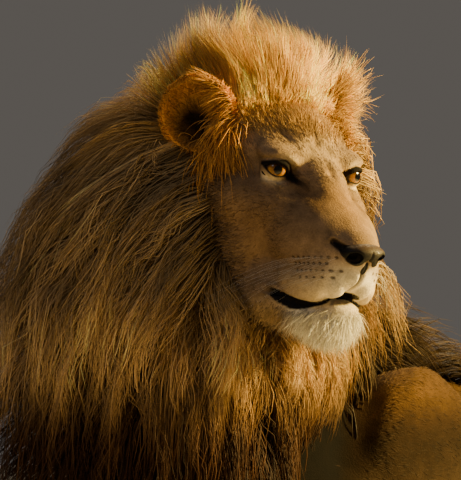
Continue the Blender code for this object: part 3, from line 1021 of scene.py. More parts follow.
class Markings:
    """The colours of the lion by place, the same for the skin and for the tufts on it."""

    def __init__(self, frame: HeadFrame) -> None:
        """Keeps the head's frame, in which the face is described."""
        self.frame = frame

    def coat(self, world: Array) -> Array:
        """The short coat's colour.

        Args:
            world: Places in the world.

        Returns:
            A colour for each.
        """
        local = folded(self.frame.to_local(world))
        return mix(self.body(world), self.face(local), self.on_head(local))

    def on_head(self, local: Array) -> Array:
        """1 on the head, 0 on the rest of the body."""
        reach = np.linalg.norm((local - (-0.02, 0.0, -0.06)) / (1.0, 1.0, 1.1), axis=1)
        return fade(reach, 0.22, 0.26)

    def body(self, world: Array) -> Array:
        """The trunk, the legs and the tail, with painted shade on the shoulder, the lower flank and under the
        mane.
        """
        aside, along, height = world.T
        slant = aside + along
        back = ramp(height, 0.36, 0.56)
        # Painted shade: the mane's shadow over the left shoulder, with some of its dark hair.
        shoulder_dark_hair_and_shade = fade(slant, -0.23, -0.13) * ramp(height, 0.30, 0.40)
        # Painted shade: the lower flank darker, as if only the top of the back were lit.
        flank_shade = fade(height, 0.52, 0.60) * ramp(height, 0.30, 0.44) * fade(along, 0.0, 0.3)
        # Painted shade: nearly black on the chest under the mane, beside the foreleg.
        hollow = fade(slant, -0.26, -0.20) * ramp(height, 0.34, 0.46)
        patches = np.sin(47 * slant + 3 * np.sin(23 * height)) * np.sin(53 * height + 3 * np.sin(31 * slant))
        belly = fade(np.abs(aside), 0.05, 0.16) * fade(height, 0.10, 0.20)
        paws = fade(height, 0.02, 0.09) * fade(along, -0.80, -0.70)
        tail = ramp(aside, 0.36, 0.44) * fade(along, 0.56, 0.66)
        tail = tail * fade(height, 0.10, 0.14) * ramp(along, 0.30, 0.34)
        colour = layered(
            np.broadcast_to(tone("tawny"), world.shape),
            ("rust", (0.170, 0.190, 0.22), back * 0.95),
            ("umber", 0.22, 0.90 * np.maximum(shoulder_dark_hair_and_shade, 0.92 * flank_shade)),
        )
        # The painted shade of the hollow and of the flank darkens the colour once more.
        colour = colour * (1 - 0.88 * hollow)[:, None] * (1 - 0.25 * flank_shade)[:, None]
        return layered(
            colour * (1.0 + 0.22 * patches * back)[:, None],
            ("beige", 1.15, fade(height, 0.06, 0.24) * 0.55),
            ("cream", 0.8, belly * 0.7),
            ("straw", 0.9, paws * 0.7),
            ("umber", 1.0, tail),
        )

    def face(self, local: Array) -> Array:
        """The face and the ears, at folded points of the head's frame."""
        ahead, out, up = local.T
        cheek = hill(local, (-0.005, 0.090, -0.070), (0.070, 0.055, 0.060))
        brow = hill(local, (0.01, 0.0, 0.03), (0.07, 0.045, 0.03))
        bridge = hill(local, (0.085, 0.0, -0.035), (0.075, 0.030, 0.040))
        beside_nose = hill(local, (0.040, 0.050, -0.060), (0.040, 0.020, 0.030))
        muzzle = hill(local, (0.120, 0.0, -0.145), (0.036, 0.040, 0.030))
        low_pad = ramp(ahead, 0.020, 0.095) * fade(up, -0.150, -0.118) * ramp(up, -0.19, -0.17)
        chin = ramp(ahead, 0.040, 0.080) * fade(up, -0.186, -0.168)
        jaw = ramp(ahead, -0.055, 0.010) * fade(up, -0.182, -0.160)
        furrow, _ = beside_line(local, ((0.045, 0, 0.008), (0.018, 0, 0.040), (-0.01, 0, 0.058)))
        hole = np.minimum(NOSTRIL.distance(local), NOSTRIL_SLIT.distance(local))
        philtrum = bell(out, 0.002) * ramp(ahead, 0.110, 0.122)
        philtrum = philtrum * ramp(up, -0.160, -0.152) * fade(up, -0.112, -0.100)
        colour = layered(
            np.broadcast_to(tone("tawny"), local.shape),
            ("golden", 1.10, ramp(up, 0.034, 0.064) * 0.70),
            ("brown", 1.5, 0.55 * cheek),
            ("beige", 1.25, 0.75 * brow),
            ("golden", (0.42, 0.41, 0.66), 0.75 * bridge),
            ("brown", 1.0, 0.35 * beside_nose),
            ("white", 1.0, np.clip(1.35 * muzzle, 0, 1)),
            ("cream", 1.0, 0.42 * low_pad),
            ("white", 1.0, 0.95 * chin),
            ("beige", 1.0, 0.60 * jaw * (1 - chin)),
            # Painted shade: the skin under the jaw, hidden by the mane, dark so that gaps in the hair read as
            # shadow.
            ("brown", 1.0, fade(up, -0.262, -0.238)),
            # Painted shade in the furrow down the forehead.
            ("brown", 1.0, 0.55 * bell(furrow, 0.007)),
        )
        colour = layered(
            self.whisker_spots(self.round_eyes(colour, local), local),
            ("black", 1.0, dark_lip(local)),
            # Painted shade in and round the nostrils.
            ("black", 1.0, fade(hole, 0.001, 0.0036)),
            ("umber", 0.6, 0.9 * philtrum),
        )
        return self.ears(colour, local)

    def round_eyes(self, colour: Array, local: Array) -> Array:
        """The black rims, the pale patches above and below them, the dark tear line and painted shade down
        the bridge's side; the patch below is also painted light.
        """
        place = EYE.to_eye(local)
        gap = EYE.gap_within(local, 0.075, 0.1)
        ahead, out, up = place.T
        front = ramp(ahead, -0.008, 0.004)
        # The pale patch under the eye is the lion's own, spread wider and brighter as painted light.
        below = hill(place, (0.010, 0.004, -0.014), (0.020, 0.0155, 0.006))
        above = hill(place, (0.010, -0.010, 0.019), (0.020, 0.013, 0.0055))
        corner = hill(place, (0.0, 0.026, 0.006), (0.02, 0.008, 0.006))
        width = np.where(up > 0, 0.0056 + 0.003 * fade(out, -0.008, 0.008), 0.0024)
        tear, share = tear_gap(local)
        # Painted shade down the side of the bridge, which begins as the tear line's own brown.
        flank_shade, _ = beside_line(local, (TEAR_LINE[1], (0.0776, 0.0365, -0.042)))
        wide = 0.004 - 0.002 * share
        return layered(
            colour,
            ("cream", 1.0, np.clip(1.2 * below, 0, 1) * front),
            ("cream", 0.9, 0.75 * above * front),
            ("brown", 1.0, 0.6 * corner),
            ("black", 1.0, fade(gap, width - 0.0008, width + 0.0012) * front),
            ("brown", 1.1, 0.62 * bell(flank_shade, 0.013)),
            ("black", 1.6, fade(tear, wide - 0.001, wide + 0.0024) * (1.0 - 0.9 * ramp(share, 0.25, 0.9))),
        )

    def whisker_spots(self, colour: Array, local: Array) -> Array:
        """Rows of small dark spots that the whiskers grow from."""
        for _, _, spot in whisker_roots():
            gap = np.linalg.norm((local - spot) * (1.0, 0.15, 1.0), axis=1)
            colour = layered(colour, ("umber", 1.0, 0.85 * fade(gap, 0.0012, 0.003)))
        return colour

    def ears(self, colour: Array, local: Array) -> Array:
        """The golden backs of the ears, painted brighter as light on their rims, their duller insides and
        painted shade in the depth of each.
        """
        place = EAR.to_ear(local)
        inside = ramp(-Ball((0.022, 0, 0.002), (0.052, 0.049, 0.052)).distance(place), -0.004, 0.004)
        # Painted light: the golden backs and rims made brighter, as if sunlight fell on the rims.
        outer = ramp(-Ball((-0.014, 0, 0), (0.046, 0.058, 0.062)).distance(place), -0.004, 0.002)
        # Painted shade deep in the ear's hollow.
        ear_hollow_shade = hill(place, (-0.022, 0.010, -0.014), (0.026, 0.026, 0.028))
        return layered(
            colour,
            ("golden", (1.40, 1.10, 0.90), outer * (1 - 0.5 * fade(place[:, 2], -0.040, -0.015))),
            ("golden", (0.70, 0.60, 0.55), inside * outer),
            ("umber", 0.4, np.clip(1.6 * ear_hollow_shade, 0, 1) * inside * outer),
        )

    def mane(self, world: Array) -> Array:
        """The long hair's colour by place, darker lower down partly as painted shade."""
        local = self.frame.to_local(world)
        height = world[:, 2]
        crown = ramp(local[:, 2], -0.02, 0.09)
        back = ramp(-local[:, 0], 0.10, 0.30)
        fringe = bell(height, 0.10, 0.70) * (1 - back)
        ruff = hill(folded(local), (0.01, 0.05, -0.245), (0.11, 0.12, 0.075))
        chest = hill(world, (0.15, -0.68, 0.52), (0.20, 0.22, 0.14))
        withers = ramp(world[:, 1], -0.42, -0.34) * ramp(height, 0.40, 0.55)
        return layered(
            np.broadcast_to(tone("straw") * (0.62, 0.60, 0.56), world.shape),
            ("golden", (1.22, 1.24, 1.25), crown),
            # Darker lower down: partly darker hair, partly painted shade.
            ("brown", 1.15, fade(height, 0.54, 0.72) * 0.85),
            ("umber", 0.8, fade(height, 0.30, 0.62) * 0.85),
            ("umber", 1.6, back * 0.55 * (1 - crown)),
            ("straw", (0.80, 0.76, 0.70), 0.55 * fringe),
            ("golden", (0.62, 0.64, 0.95), np.clip(ruff * 1.2, 0, 1)),
            # The chest's own rust, darkened partly as painted shade.
            ("rust", (0.34, 0.34, 0.45), 0.85 * chest),
            ("umber", 0.55, withers * 0.95),
        )


# ---------------------------------------------------------------- finishes
class NodeSet:
    """Adds the nodes of one tree."""

    def __init__(self, tree: bpy.types.NodeTree) -> None:
        """Keeps the tree."""
        self.tree = tree

    def fill(self, socket: bpy.types.NodeSocket, value: object) -> None:
        """Links a socket to another, or sets its plain value."""
        if isinstance(value, bpy.types.NodeSocket):
            self.tree.links.new(value, socket)
        else:
            socket.default_value = value

    def add(self, kind: str, *values: object, **settings: object) -> bpy.types.Node:
        """Adds a node.

        Args:
            kind: What kind of node.
            values: What goes into its sockets, in their order.
            settings: Its properties, and what goes into its sockets, by name.

        Returns:
            The node.
        """
        node = self.tree.nodes.new(kind)
        for name, value in settings.items():
            if hasattr(node, name):
                setattr(node, name, value)
            else:
                self.fill(node.inputs[name.replace("_", " ")], value)
        for socket, value in zip(node.inputs, values):
            self.fill(socket, value)
        return node

    def sum(self, operation: str, first: object, second: object) -> bpy.types.NodeSocket:
        """Works out a sum of two sockets or numbers."""
        return self.add("ShaderNodeMath", first, second, operation=operation).outputs[0]


def hair_grain_group() -> bpy.types.NodeTree:
    """The fine unevenness of hair: a colour broken by streaks and specks, and a height.

    Returns:
        The group, made once and shared by the skin, the coat and the mane.
    """
    name = "hair_grain"
    if name in bpy.data.node_groups:
        return bpy.data.node_groups[name]
    tree = bpy.data.node_groups.new(name, "ShaderNodeTree")
    for word, way, kind in (
        ("Colour", "INPUT", "Color"), ("Fine Scale", "INPUT", "Float"), ("Broad Scale", "INPUT", "Float"),
        ("Strength", "INPUT", "Float"), ("Colour", "OUTPUT", "Color"), ("Height", "OUTPUT", "Float"),
    ):
        tree.interface.new_socket(word, in_out=way, socket_type=f"NodeSocket{kind}")
    nodes = NodeSet(tree)
    given = nodes.add("NodeGroupInput").outputs
    place = nodes.add("ShaderNodeTexCoord").outputs["Object"]
    fine, broad = (
        nodes.add("ShaderNodeTexNoise", Vector=place, Scale=given[scale], Detail=detail, Roughness=rough)
        for scale, detail, rough in (("Fine Scale", 3.0, 0.65), ("Broad Scale", 2.0, 0.5))
    )
    total = nodes.sum("ADD", fine.outputs["Fac"], broad.outputs["Fac"])
    uneven = nodes.sum("MULTIPLY", nodes.sum("SUBTRACT", total, 1.0), given["Strength"])
    shade = nodes.sum("ADD", uneven, 1.0)
    tinted = nodes.add("ShaderNodeVectorMath", given["Colour"], operation="SCALE", Scale=shade)
    nodes.add("NodeGroupOutput", Colour=tinted.outputs[0], Height=fine.outputs["Fac"])
    return tree


@dataclass(frozen=True)
class Finish:
    """A surface whose colour comes from its vertices, broken by a fine grain."""

    name: str
    roughness: float
    specular: float
    coat: float = 0.0
    fine_scale: float = 900.0
    broad_scale: float = 60.0
    strength: float = 0.5
    bump: float = 0.0
    bump_distance: float = 0.0006
    wet: bool = False

    WET_ROUGHNESS = 0.22
    COAT_ROUGHNESS = 0.04

    def make(self) -> bpy.types.Material:
        """Builds the material."""
        made = bpy.data.materials.new(self.name)
        made.use_nodes = True
        shader = made.node_tree.nodes["Principled BSDF"]
        nodes = NodeSet(made.node_tree)
        tint = nodes.add("ShaderNodeVertexColor", layer_name=TINT).outputs["Color"]
        grain = nodes.add("ShaderNodeGroup", node_tree=hair_grain_group())
        for node, values in (
            (grain, {"Colour": tint, "Fine Scale": self.fine_scale, "Broad Scale": self.broad_scale,
                     "Strength": self.strength}),
            (shader, {"Base Color": grain.outputs["Colour"], "Roughness": self.roughness,
                      "Specular IOR Level": self.specular, "Coat Weight": self.coat,
                      "Coat Roughness": self.COAT_ROUGHNESS}),
        ):
            for socket, value in values.items():
                nodes.fill(node.inputs[socket], value)
        if self.bump:
            bump = nodes.add("ShaderNodeBump", Strength=self.bump, Distance=self.bump_distance,
                             Height=grain.outputs["Height"])
            nodes.fill(shader.inputs["Normal"], bump.outputs["Normal"])
        if self.wet:
            wet = nodes.add("ShaderNodeAttribute", attribute_name=WET).outputs["Fac"]
            dry = nodes.add("ShaderNodeMapRange", Value=wet, To_Min=self.roughness, To_Max=self.WET_ROUGHNESS)
            nodes.fill(shader.inputs["Roughness"], dry.outputs["Result"])
        return made


FINISHES = {
    "skin": Finish("short_fur_over_skin", 0.85, 0.06, strength=1.0, fine_scale=420.0, bump=1.0,
                   bump_distance=0.0012, wet=True),
    "short": Finish("short_fur_tufts", 0.72, 0.10, strength=0.25, fine_scale=500.0),
    "mane": Finish("mane_hair", 0.52, 0.12, strength=0.30, fine_scale=300.0, broad_scale=35.0),
    "whisker": Finish("whisker_bristle", 0.35, 0.5, strength=0.0),
    "leather": Finish("pebbled_nose_leather", 0.52, 0.18, coat=0.03, fine_scale=700.0, strength=0.45,
                      bump=0.8),
    "eye": Finish("wet_amber_eye", 0.16, 0.15, coat=0.45, fine_scale=1500.0, strength=0.35),
}


class FinishShelf:
    """The finished materials, each made the first time that it is asked for."""

    def __init__(self) -> None:
        """Starts empty."""
        self.made: dict[str, bpy.types.Material] = {}

    def put_on(self, obj: bpy.types.Object, name: str) -> None:
        """Gives an object the finish of that name."""
        if name not in self.made:
            self.made[name] = FINISHES[name].make()
        obj.data.materials.clear()
        obj.data.materials.append(self.made[name])


# ---------------------------------------------------------------- tufts
class Tuft(Enum):
    """How a tuft is built: how many lengths it has from root to tip."""

    SHORT = 2
    MIDDLE = 4
    LONG = 6
    BRISTLE = 8


@dataclass
class Roots:
    """Places on the skin that tufts grow from."""

    points: Array
    normals: Array
    spots: Array

    def __len__(self) -> int:
        """How many there are."""
        return len(self.points)

    def sunk(self, depth: float = 0.001) -> Array:
        """The places, that deep under the skin, where the tufts' ends are hidden."""
        return self.points - self.normals * depth

    def chosen(self, keep: Array) -> "Roots":
        """Just those that are kept."""
        return Roots(self.points[keep], self.normals[keep], self.spots[keep])


class Field:
    """The skin as the ground that tufts are sown on."""

    def __init__(self, skin: bpy.types.Object) -> None:
        """Reads the skin's triangles, normals and flat places."""
        self.points = read_points(skin)
        self.normals = read_normals(skin)
        self.corners, loops = read_triangles(skin.data)
        self.spots = read(skin.data.uv_layers[BAKE_MAP].data, "uv", 2).astype(float)[loops]
        first, second, third = (self.points[self.corners[:, corner]] for corner in range(3))
        self.area = np.linalg.norm(np.cross(second - first, third - first), axis=1) / 2
        self.middles = (first + second + third) / 3

    def sow(self, density: Array, count: int, seed: int) -> Roots:
        """Scatters roots over the skin.

        Args:
            density: How thickly each triangle is sown, against the others.
            count: How many roots in all.
            seed: The seed of the scatter.

        Returns:
            The roots.
        """
        rng = np.random.default_rng(seed)
        total = np.cumsum(self.area * density)
        place = (np.arange(count) + rng.random(count)) / count * total[-1]
        index = np.minimum(np.searchsorted(total, place), len(total) - 1)
        first, second = rng.random(count), rng.random(count)
        over = first + second > 1.0
        first, second = np.where(over, 1 - first, first), np.where(over, 1 - second, second)
        share = np.stack([1 - first - second, first, second], 1)[:, :, None]
        corners = self.corners[index]
        return Roots(
            (self.points[corners] * share).sum(1),
            unit((self.normals[corners] * share).sum(1)),
            (self.spots[index] * share).sum(1),
        )


class Locks:
    """Builds pieces of many thin three-sided tufts, each closed and tapered."""

    OFF_FLOOR = 0.0015  # the lowest that a tuft's middle comes
    PATCH = 0.003  # the side of a tuft's patch of the flat map
    RING = 3  # the corners of a tuft's cross-section
    BASE, RIDGE = 0.20, 0.55  # how far its base and its ridge are from its middle, in half widths

    def __init__(self, shelf: FinishShelf) -> None:
        """Keeps the finishes."""
        self.shelf = shelf

    def build(
        self, name: str, paths: Array, widths: Array, roots: Roots, colours: Array, finish: str
    ) -> bpy.types.Object:
        """Makes one piece.

        Args:
            name: The piece's name.
            paths: For each tuft its stations from root to tip.
            widths: For each tuft its half width at every station but the tip.
            roots: Where the tufts grow; a tuft's ridge faces the way of its root's normal.
            colours: For each tuft a colour at each station.
            finish: The finish's name.

        Returns:
            The piece.
        """
        count, stations = paths.shape[:2]
        paths = paths.copy()
        paths[..., 2] = np.maximum(paths[..., 2], self.OFF_FLOOR)
        along = unit(np.gradient(paths, axis=1))[:, :-1]
        across = unit(np.cross(along, roots.normals[:, None, :]))
        over = np.cross(across, along)
        half = widths[:, :, None]
        middle = paths[:, :-1]
        base = over * half * self.BASE
        ring = (
            middle + across * half - base,
            middle - across * half - base,
            middle + over * half * self.RIDGE,
        )
        points = np.concatenate([np.stack(ring, 2).reshape(count, -1, 3), paths[:, -1:]], 1)
        tints = np.concatenate([np.repeat(colours[:, :-1], self.RING, axis=1), colours[:, -1:]], 1)
        return self.assemble(name, points, tints, roots.spots, self.pattern(stations - 1), finish)

    def pattern(self, lengths: int) -> tuple[Array, Array, Array]:
        """One tuft's faces.

        Args:
            lengths: How many lengths it has.

        Returns:
            The faces' corners in a row, the faces' sizes, and each corner's place on the patch.
        """
        faces, sizes, places = [2, 1, 0], [3], [(2 / 3, 0.0), (1 / 3, 0.0), (0.0, 0.0)]
        for step in range(lengths - 1):
            low, high = step / lengths, (step + 1) / lengths
            for side in range(self.RING):
                first, second = step * self.RING + side, step * self.RING + (side + 1) % self.RING
                faces += [first, second, second + self.RING, first + self.RING]
                left, right = side / self.RING, (side + 1) / self.RING
                places += [(left, low), (right, low), (right, high), (left, high)]
                sizes.append(4)
        last, tip = (lengths - 1) * self.RING, lengths * self.RING
        for side in range(self.RING):
            faces += [last + side, last + (side + 1) % self.RING, tip]
            low = (lengths - 1) / lengths
            places += [
                (side / self.RING, low),
                ((side + 1) / self.RING, low),
                ((side + 0.5) / self.RING, 1.0),
            ]
            sizes.append(3)
        return np.array(faces), np.array(sizes), np.array(places)

    def assemble(
        self, name: str, points: Array, tints: Array, spots: Array,
        pattern: tuple[Array, Array, Array], finish: str,
    ) -> bpy.types.Object:
        """Puts all the tufts of a piece into one mesh, with its colours and its flat map.

        Args:
            name: The piece's name.
            points: For each tuft its vertices.
            tints: For each tuft a colour at each vertex.
            spots: For each tuft its root's place on the skin's flat pattern.
            pattern: One tuft's faces, as the method of that name gives them.
            finish: The finish's name.

        Returns:
            The piece.
        """
        faces, sizes, places = pattern
        count, each = points.shape[:2]
        mesh = bpy.data.meshes.new(name)
        corners = (faces[None, :] + np.arange(count)[:, None] * each).ravel()
        totals = np.tile(sizes, count)
        mesh.vertices.add(count * each)
        mesh.vertices.foreach_set("co", points.astype(np.float32).ravel())
        mesh.loops.add(len(corners))
        mesh.loops.foreach_set("vertex_index", corners.astype(np.int32))
        mesh.polygons.add(len(totals))
        starts = np.concatenate([[0], np.cumsum(totals)[:-1]])
        mesh.polygons.foreach_set("loop_start", starts.astype(np.int32))
        mesh.update(calc_edges=True)
        layer = mesh.uv_layers.new(name=BAKE_MAP)
        flat = spots[:, None, :] + (places[None, :, :] - 0.5) * self.PATCH
        layer.data.foreach_set("uv", flat.astype(np.float32).ravel())
        obj = bpy.data.objects.new(name, mesh)
        bpy.context.scene.collection.objects.link(obj)
        paint(obj, tints.reshape(-1, 3))
        mesh.shade_smooth()
        self.shelf.put_on(obj, finish)
        LOG.info("%s: %d tufts, %d triangles", name, count, count * int((sizes - 2).sum()))
        return obj


# ---------------------------------------------------------------- the nose
NOSE_MASSES: tuple[Mass, ...] = (
    Ball((0.141, 0, -0.094), (0.022, 0.030, 0.014), 0, 0.006),
    Ball((0.137, 0, -0.108), (0.015, 0.008, 0.018), 0, 0.008),
    Ball((0.1395, 0.011, -0.101), (0.0165, 0.015, 0.013), 0, 0.008),
    Ball((0.137, 0.019, -0.095), (0.0185, 0.015, 0.011), 0, 0.006),
)
NOSTRIL = Ball((0.151, 0.0205, -0.1015), (0.015, 0.0098, 0.008))
NOSTRIL_SLIT = Bar((0.150, 0.024, -0.0985), 0.005, (0.121, 0.037, -0.084), 0.0026)


def nose_distance(local: Array) -> Array:
    """How far points of the head's frame are outside the nose leather, nearly."""
    return fused(folded(local), NOSE_MASSES)


@dataclass
class Nose:
    """The bare leather at the end of the nose, with its two nostrils."""

    frame: HeadFrame
    shelf: FinishShelf
    voxel: float = 0.0011
    top_colour: Triple = (0.062, 0.036, 0.022)
    # Partly the leather's own colour, partly painted shade.
    low_colour: Triple = (0.010, 0.008, 0.007)

    def build(self) -> bpy.types.Object:
        """Fuses the pad, the wings and the keel, then opens the nostrils."""
        nose = joined("nose_leather_pad", on_both_sides(NOSE_MASSES))
        apply_modifier(nose, "REMESH", mode="VOXEL", voxel_size=self.voxel)
        apply_modifier(nose, "SMOOTH", factor=0.5, iterations=14)
        points, normals = read_points(nose), read_normals(nose)
        write_points(nose, points + normals * self.relief(folded(points))[:, None])
        for side in (1, -1):
            for cut in (NOSTRIL_SLIT, NOSTRIL):
                self.open_nostril(nose, cut, side)
        apply_modifier(nose, "TRIANGULATE")
        points = read_points(nose)
        points = relaxed(points, read_edges(nose), 0.5, 2)
        write_points(nose, points)
        paint(nose, self.colours(folded(points)))
        nose.data.transform(self.frame.matrix())
        smooth_shaded(nose)
        self.shelf.put_on(nose, "leather")
        return nose

    def open_nostril(self, nose: bpy.types.Object, cut: Mass, side: int) -> None:
        """Cuts one part of a nostril."""
        cutter = cut.add(side)
        joined("nostril", [cutter])
        apply_modifier(nose, "BOOLEAN", operation="DIFFERENCE", object=cutter, solver="MANIFOLD")
        bpy.data.objects.remove(cutter)

    def relief(self, local: Array) -> Array:
        """The groove down the middle and the swelling round the nostrils."""
        groove = -0.0026 * bell(local[:, 1], 0.0015) * fade(local[:, 2], -0.098, -0.088)
        rim = 0.0003 * bell(NOSTRIL.distance(local), 0.003, 0.003)
        return groove + rim

    def colours(self, local: Array) -> Array:
        """Dark brown on top, nearly black below, partly the leather's own colour and partly painted shade,
        and painted shade inside the nostrils.
        """
        colour = mix(np.array(self.low_colour), np.array(self.top_colour), ramp(local[:, 2], -0.098, -0.084))
        hole = np.minimum(NOSTRIL.distance(local), NOSTRIL_SLIT.distance(local))
        # Painted shade in and round the nostrils.
        return layered(colour, ("black", 0.6, fade(hole, 0.0014, 0.0044)))


# ---------------------------------------------------------------- the eyes
@dataclass
class Eyeball:
    """One eye: a ball with a bulging cornea over an amber iris and a round pupil."""

    frame: HeadFrame
    shelf: FinishShelf
    word: str
    side: int
    iris: float = 0.0138
    pupil: float = 0.0058
    inner_colour: Triple = (0.240, 0.098, 0.014)
    outer_colour: Triple = (0.480, 0.215, 0.030)
    ring_colour: Triple = (0.060, 0.026, 0.008)
    white_colour: Triple = (0.030, 0.018, 0.012)
    pupil_colour: Triple = (0.002, 0.002, 0.002)

    def build(self) -> bpy.types.Object:
        """Makes the ball with its pole at the pupil, so that its rings follow the iris."""
        bpy.ops.mesh.primitive_uv_sphere_add(segments=72, ring_count=72, radius=EYE.ball)
        ball = bpy.context.object
        ball.name = ball.data.name = f"eyeball_{self.word}"
        points = read_points(ball)
        polar = np.arccos(np.clip(points[:, 2] / EYE.ball, -1, 1))
        around = np.arctan2(points[:, 1], points[:, 0])
        bulge = 1.0 + 0.055 * fade(polar, 0.25, 0.80)
        # Painted shadow of the upper lid and lashes over the top of the eyeball.
        lid_shadow = ramp(points[:, 1], -0.002, 0.007)[:, None]
        colours = self.colours(np.sin(polar) * EYE.ball, polar, around) * (1 - 0.85 * lid_shadow)
        write_points(ball, points * bulge[:, None])
        gaze = EYE.axes()[0] * (1, self.side, 1)
        spin = Vector(gaze).to_track_quat("Z", "Y").to_matrix().to_4x4()
        centre = np.array(EYE.centre) * (1, self.side, 1)
        ball.data.transform(self.frame.matrix() @ Matrix.Translation(centre) @ spin)
        paint(ball, colours)
        smooth_shaded(ball)
        self.shelf.put_on(ball, "eye")
        return ball

    def colours(self, reach: Array, polar: Array, around: Array) -> Array:
        """The pupil, the fibres of the iris, its dark ring and the brown white of the eye."""
        fibres = 0.5 + 0.5 * np.sin(around * 23 + 2.2 * np.sin(around * 7))
        fibres = 0.65 * fibres + 0.35 * (0.5 + 0.5 * np.sin(around * 51 + reach * 900))
        colour = mix(np.array(self.inner_colour), np.array(self.outer_colour),
                     ramp(reach, self.pupil, self.pupil + 0.006))
        colour = colour * (0.75 + 0.45 * fibres)[:, None]
        for name, cover in (
            (self.ring_colour, ramp(reach, self.iris - 0.003, self.iris)),
            (self.white_colour, ramp(reach, self.iris, self.iris + 0.001)),
            (self.pupil_colour, fade(reach, self.pupil - 0.0004, self.pupil + 0.0004)),
            (self.white_colour, ramp(polar, 1.3, 1.5)),
        ):
            colour = mix(colour, np.array(name), cover)
        return colour


# ---------------------------------------------------------------- the short coat
def turned(flow: Array, *turns: tuple[Triple, Array]) -> Array:
    """A way for hair to lie, turned by place.

    Args:
        flow: The way that it lies at first.
        turns: For each another way, and how far it takes over.

    Returns:
        The way that results.
    """
    for way, share in turns:
        flow = mix(flow, np.array(way), share)
    return flow


class Lie:
    """Which way the short coat lies."""

    def __init__(self, frame: HeadFrame) -> None:
        """Keeps the head's frame."""
        self.frame = frame

    def on_skin(self, flow: Array, normals: Array) -> Array:
        """The flow, laid down on the skin."""
        return unit(flow - (flow * normals).sum(1, keepdims=True) * normals)

    def from_folded(self, flow: Array, world: Array, normals: Array) -> Array:
        """A flow given on the head's left side, at places on either side, laid down on the skin."""
        right = self.frame.to_local(world)[:, 1] < 0
        flow[:, 1] *= np.where(right, -1.0, 1.0)
        return self.on_skin(self.frame.turned_out(flow), normals)

    def face(self, world: Array, normals: Array) -> Array:
        """Back over the brow and the bridge, out over the cheeks, down over the lips and chin."""
        ahead, out, up = folded(self.frame.to_local(world)).T
        flow = turned(
            np.tile((-1.0, 0.12, 0.10), (len(world), 1)),
            ((-0.75, 0.20, 0.80), ramp(up, -0.01, 0.04)),
            ((-1.0, 0.25, -0.40), ramp(out, 0.045, 0.080) * fade(up, -0.03, 0.02)),
            ((-0.65, 0.50, -0.55), ramp(ahead, 0.045, 0.080) * fade(up, -0.115, -0.095)),
            ((-0.35, 0.15, -1.0), fade(up, -0.185, -0.165)),
        )
        return self.from_folded(flow, world, normals)

    def ear(self, world: Array, normals: Array) -> Array:
        """Up and outwards from the middle of each ear."""
        place = EAR.to_ear(folded(self.frame.to_local(world)))
        flow = np.stack([0.4 + 0 * place[:, 0], place[:, 1] / 0.04, place[:, 2] / 0.04 + 0.3], 1)
        return self.from_folded(EAR.turned_out(flow), world, normals)

    def body(self, world: Array, normals: Array) -> Array:
        """Back along the trunk and down the sides, and along the feet towards the toes."""
        aside, along, height = world.T
        hindfeet = ramp(np.abs(aside), 0.22, 0.26) * fade(height, 0.11, 0.16)
        tail = ramp(along, 0.86, 0.92) + ramp(aside, 0.36, 0.40)
        flow = turned(
            np.tile((0.0, 1.0, -0.35), (len(world), 1)),
            ((0.0, -1.0, -0.25), fade(along, -0.50, -0.36) * fade(height, 0.16, 0.22)),
            ((0.0, -1.0, -0.25), hindfeet * fade(along, 0.5, 0.6)),
            ((0.6, -0.5, -0.2), np.clip(tail, 0, 1)),
        )
        return self.on_skin(flow, normals)


def bare_shoulder(points: Array) -> Array:
    """Which places are on the left shoulder, which the mane leaves free."""
    return (points[:, 0] + points[:, 1] > -0.24) & (points[:, 2] < 0.63) & (points[:, 0] > 0.04)


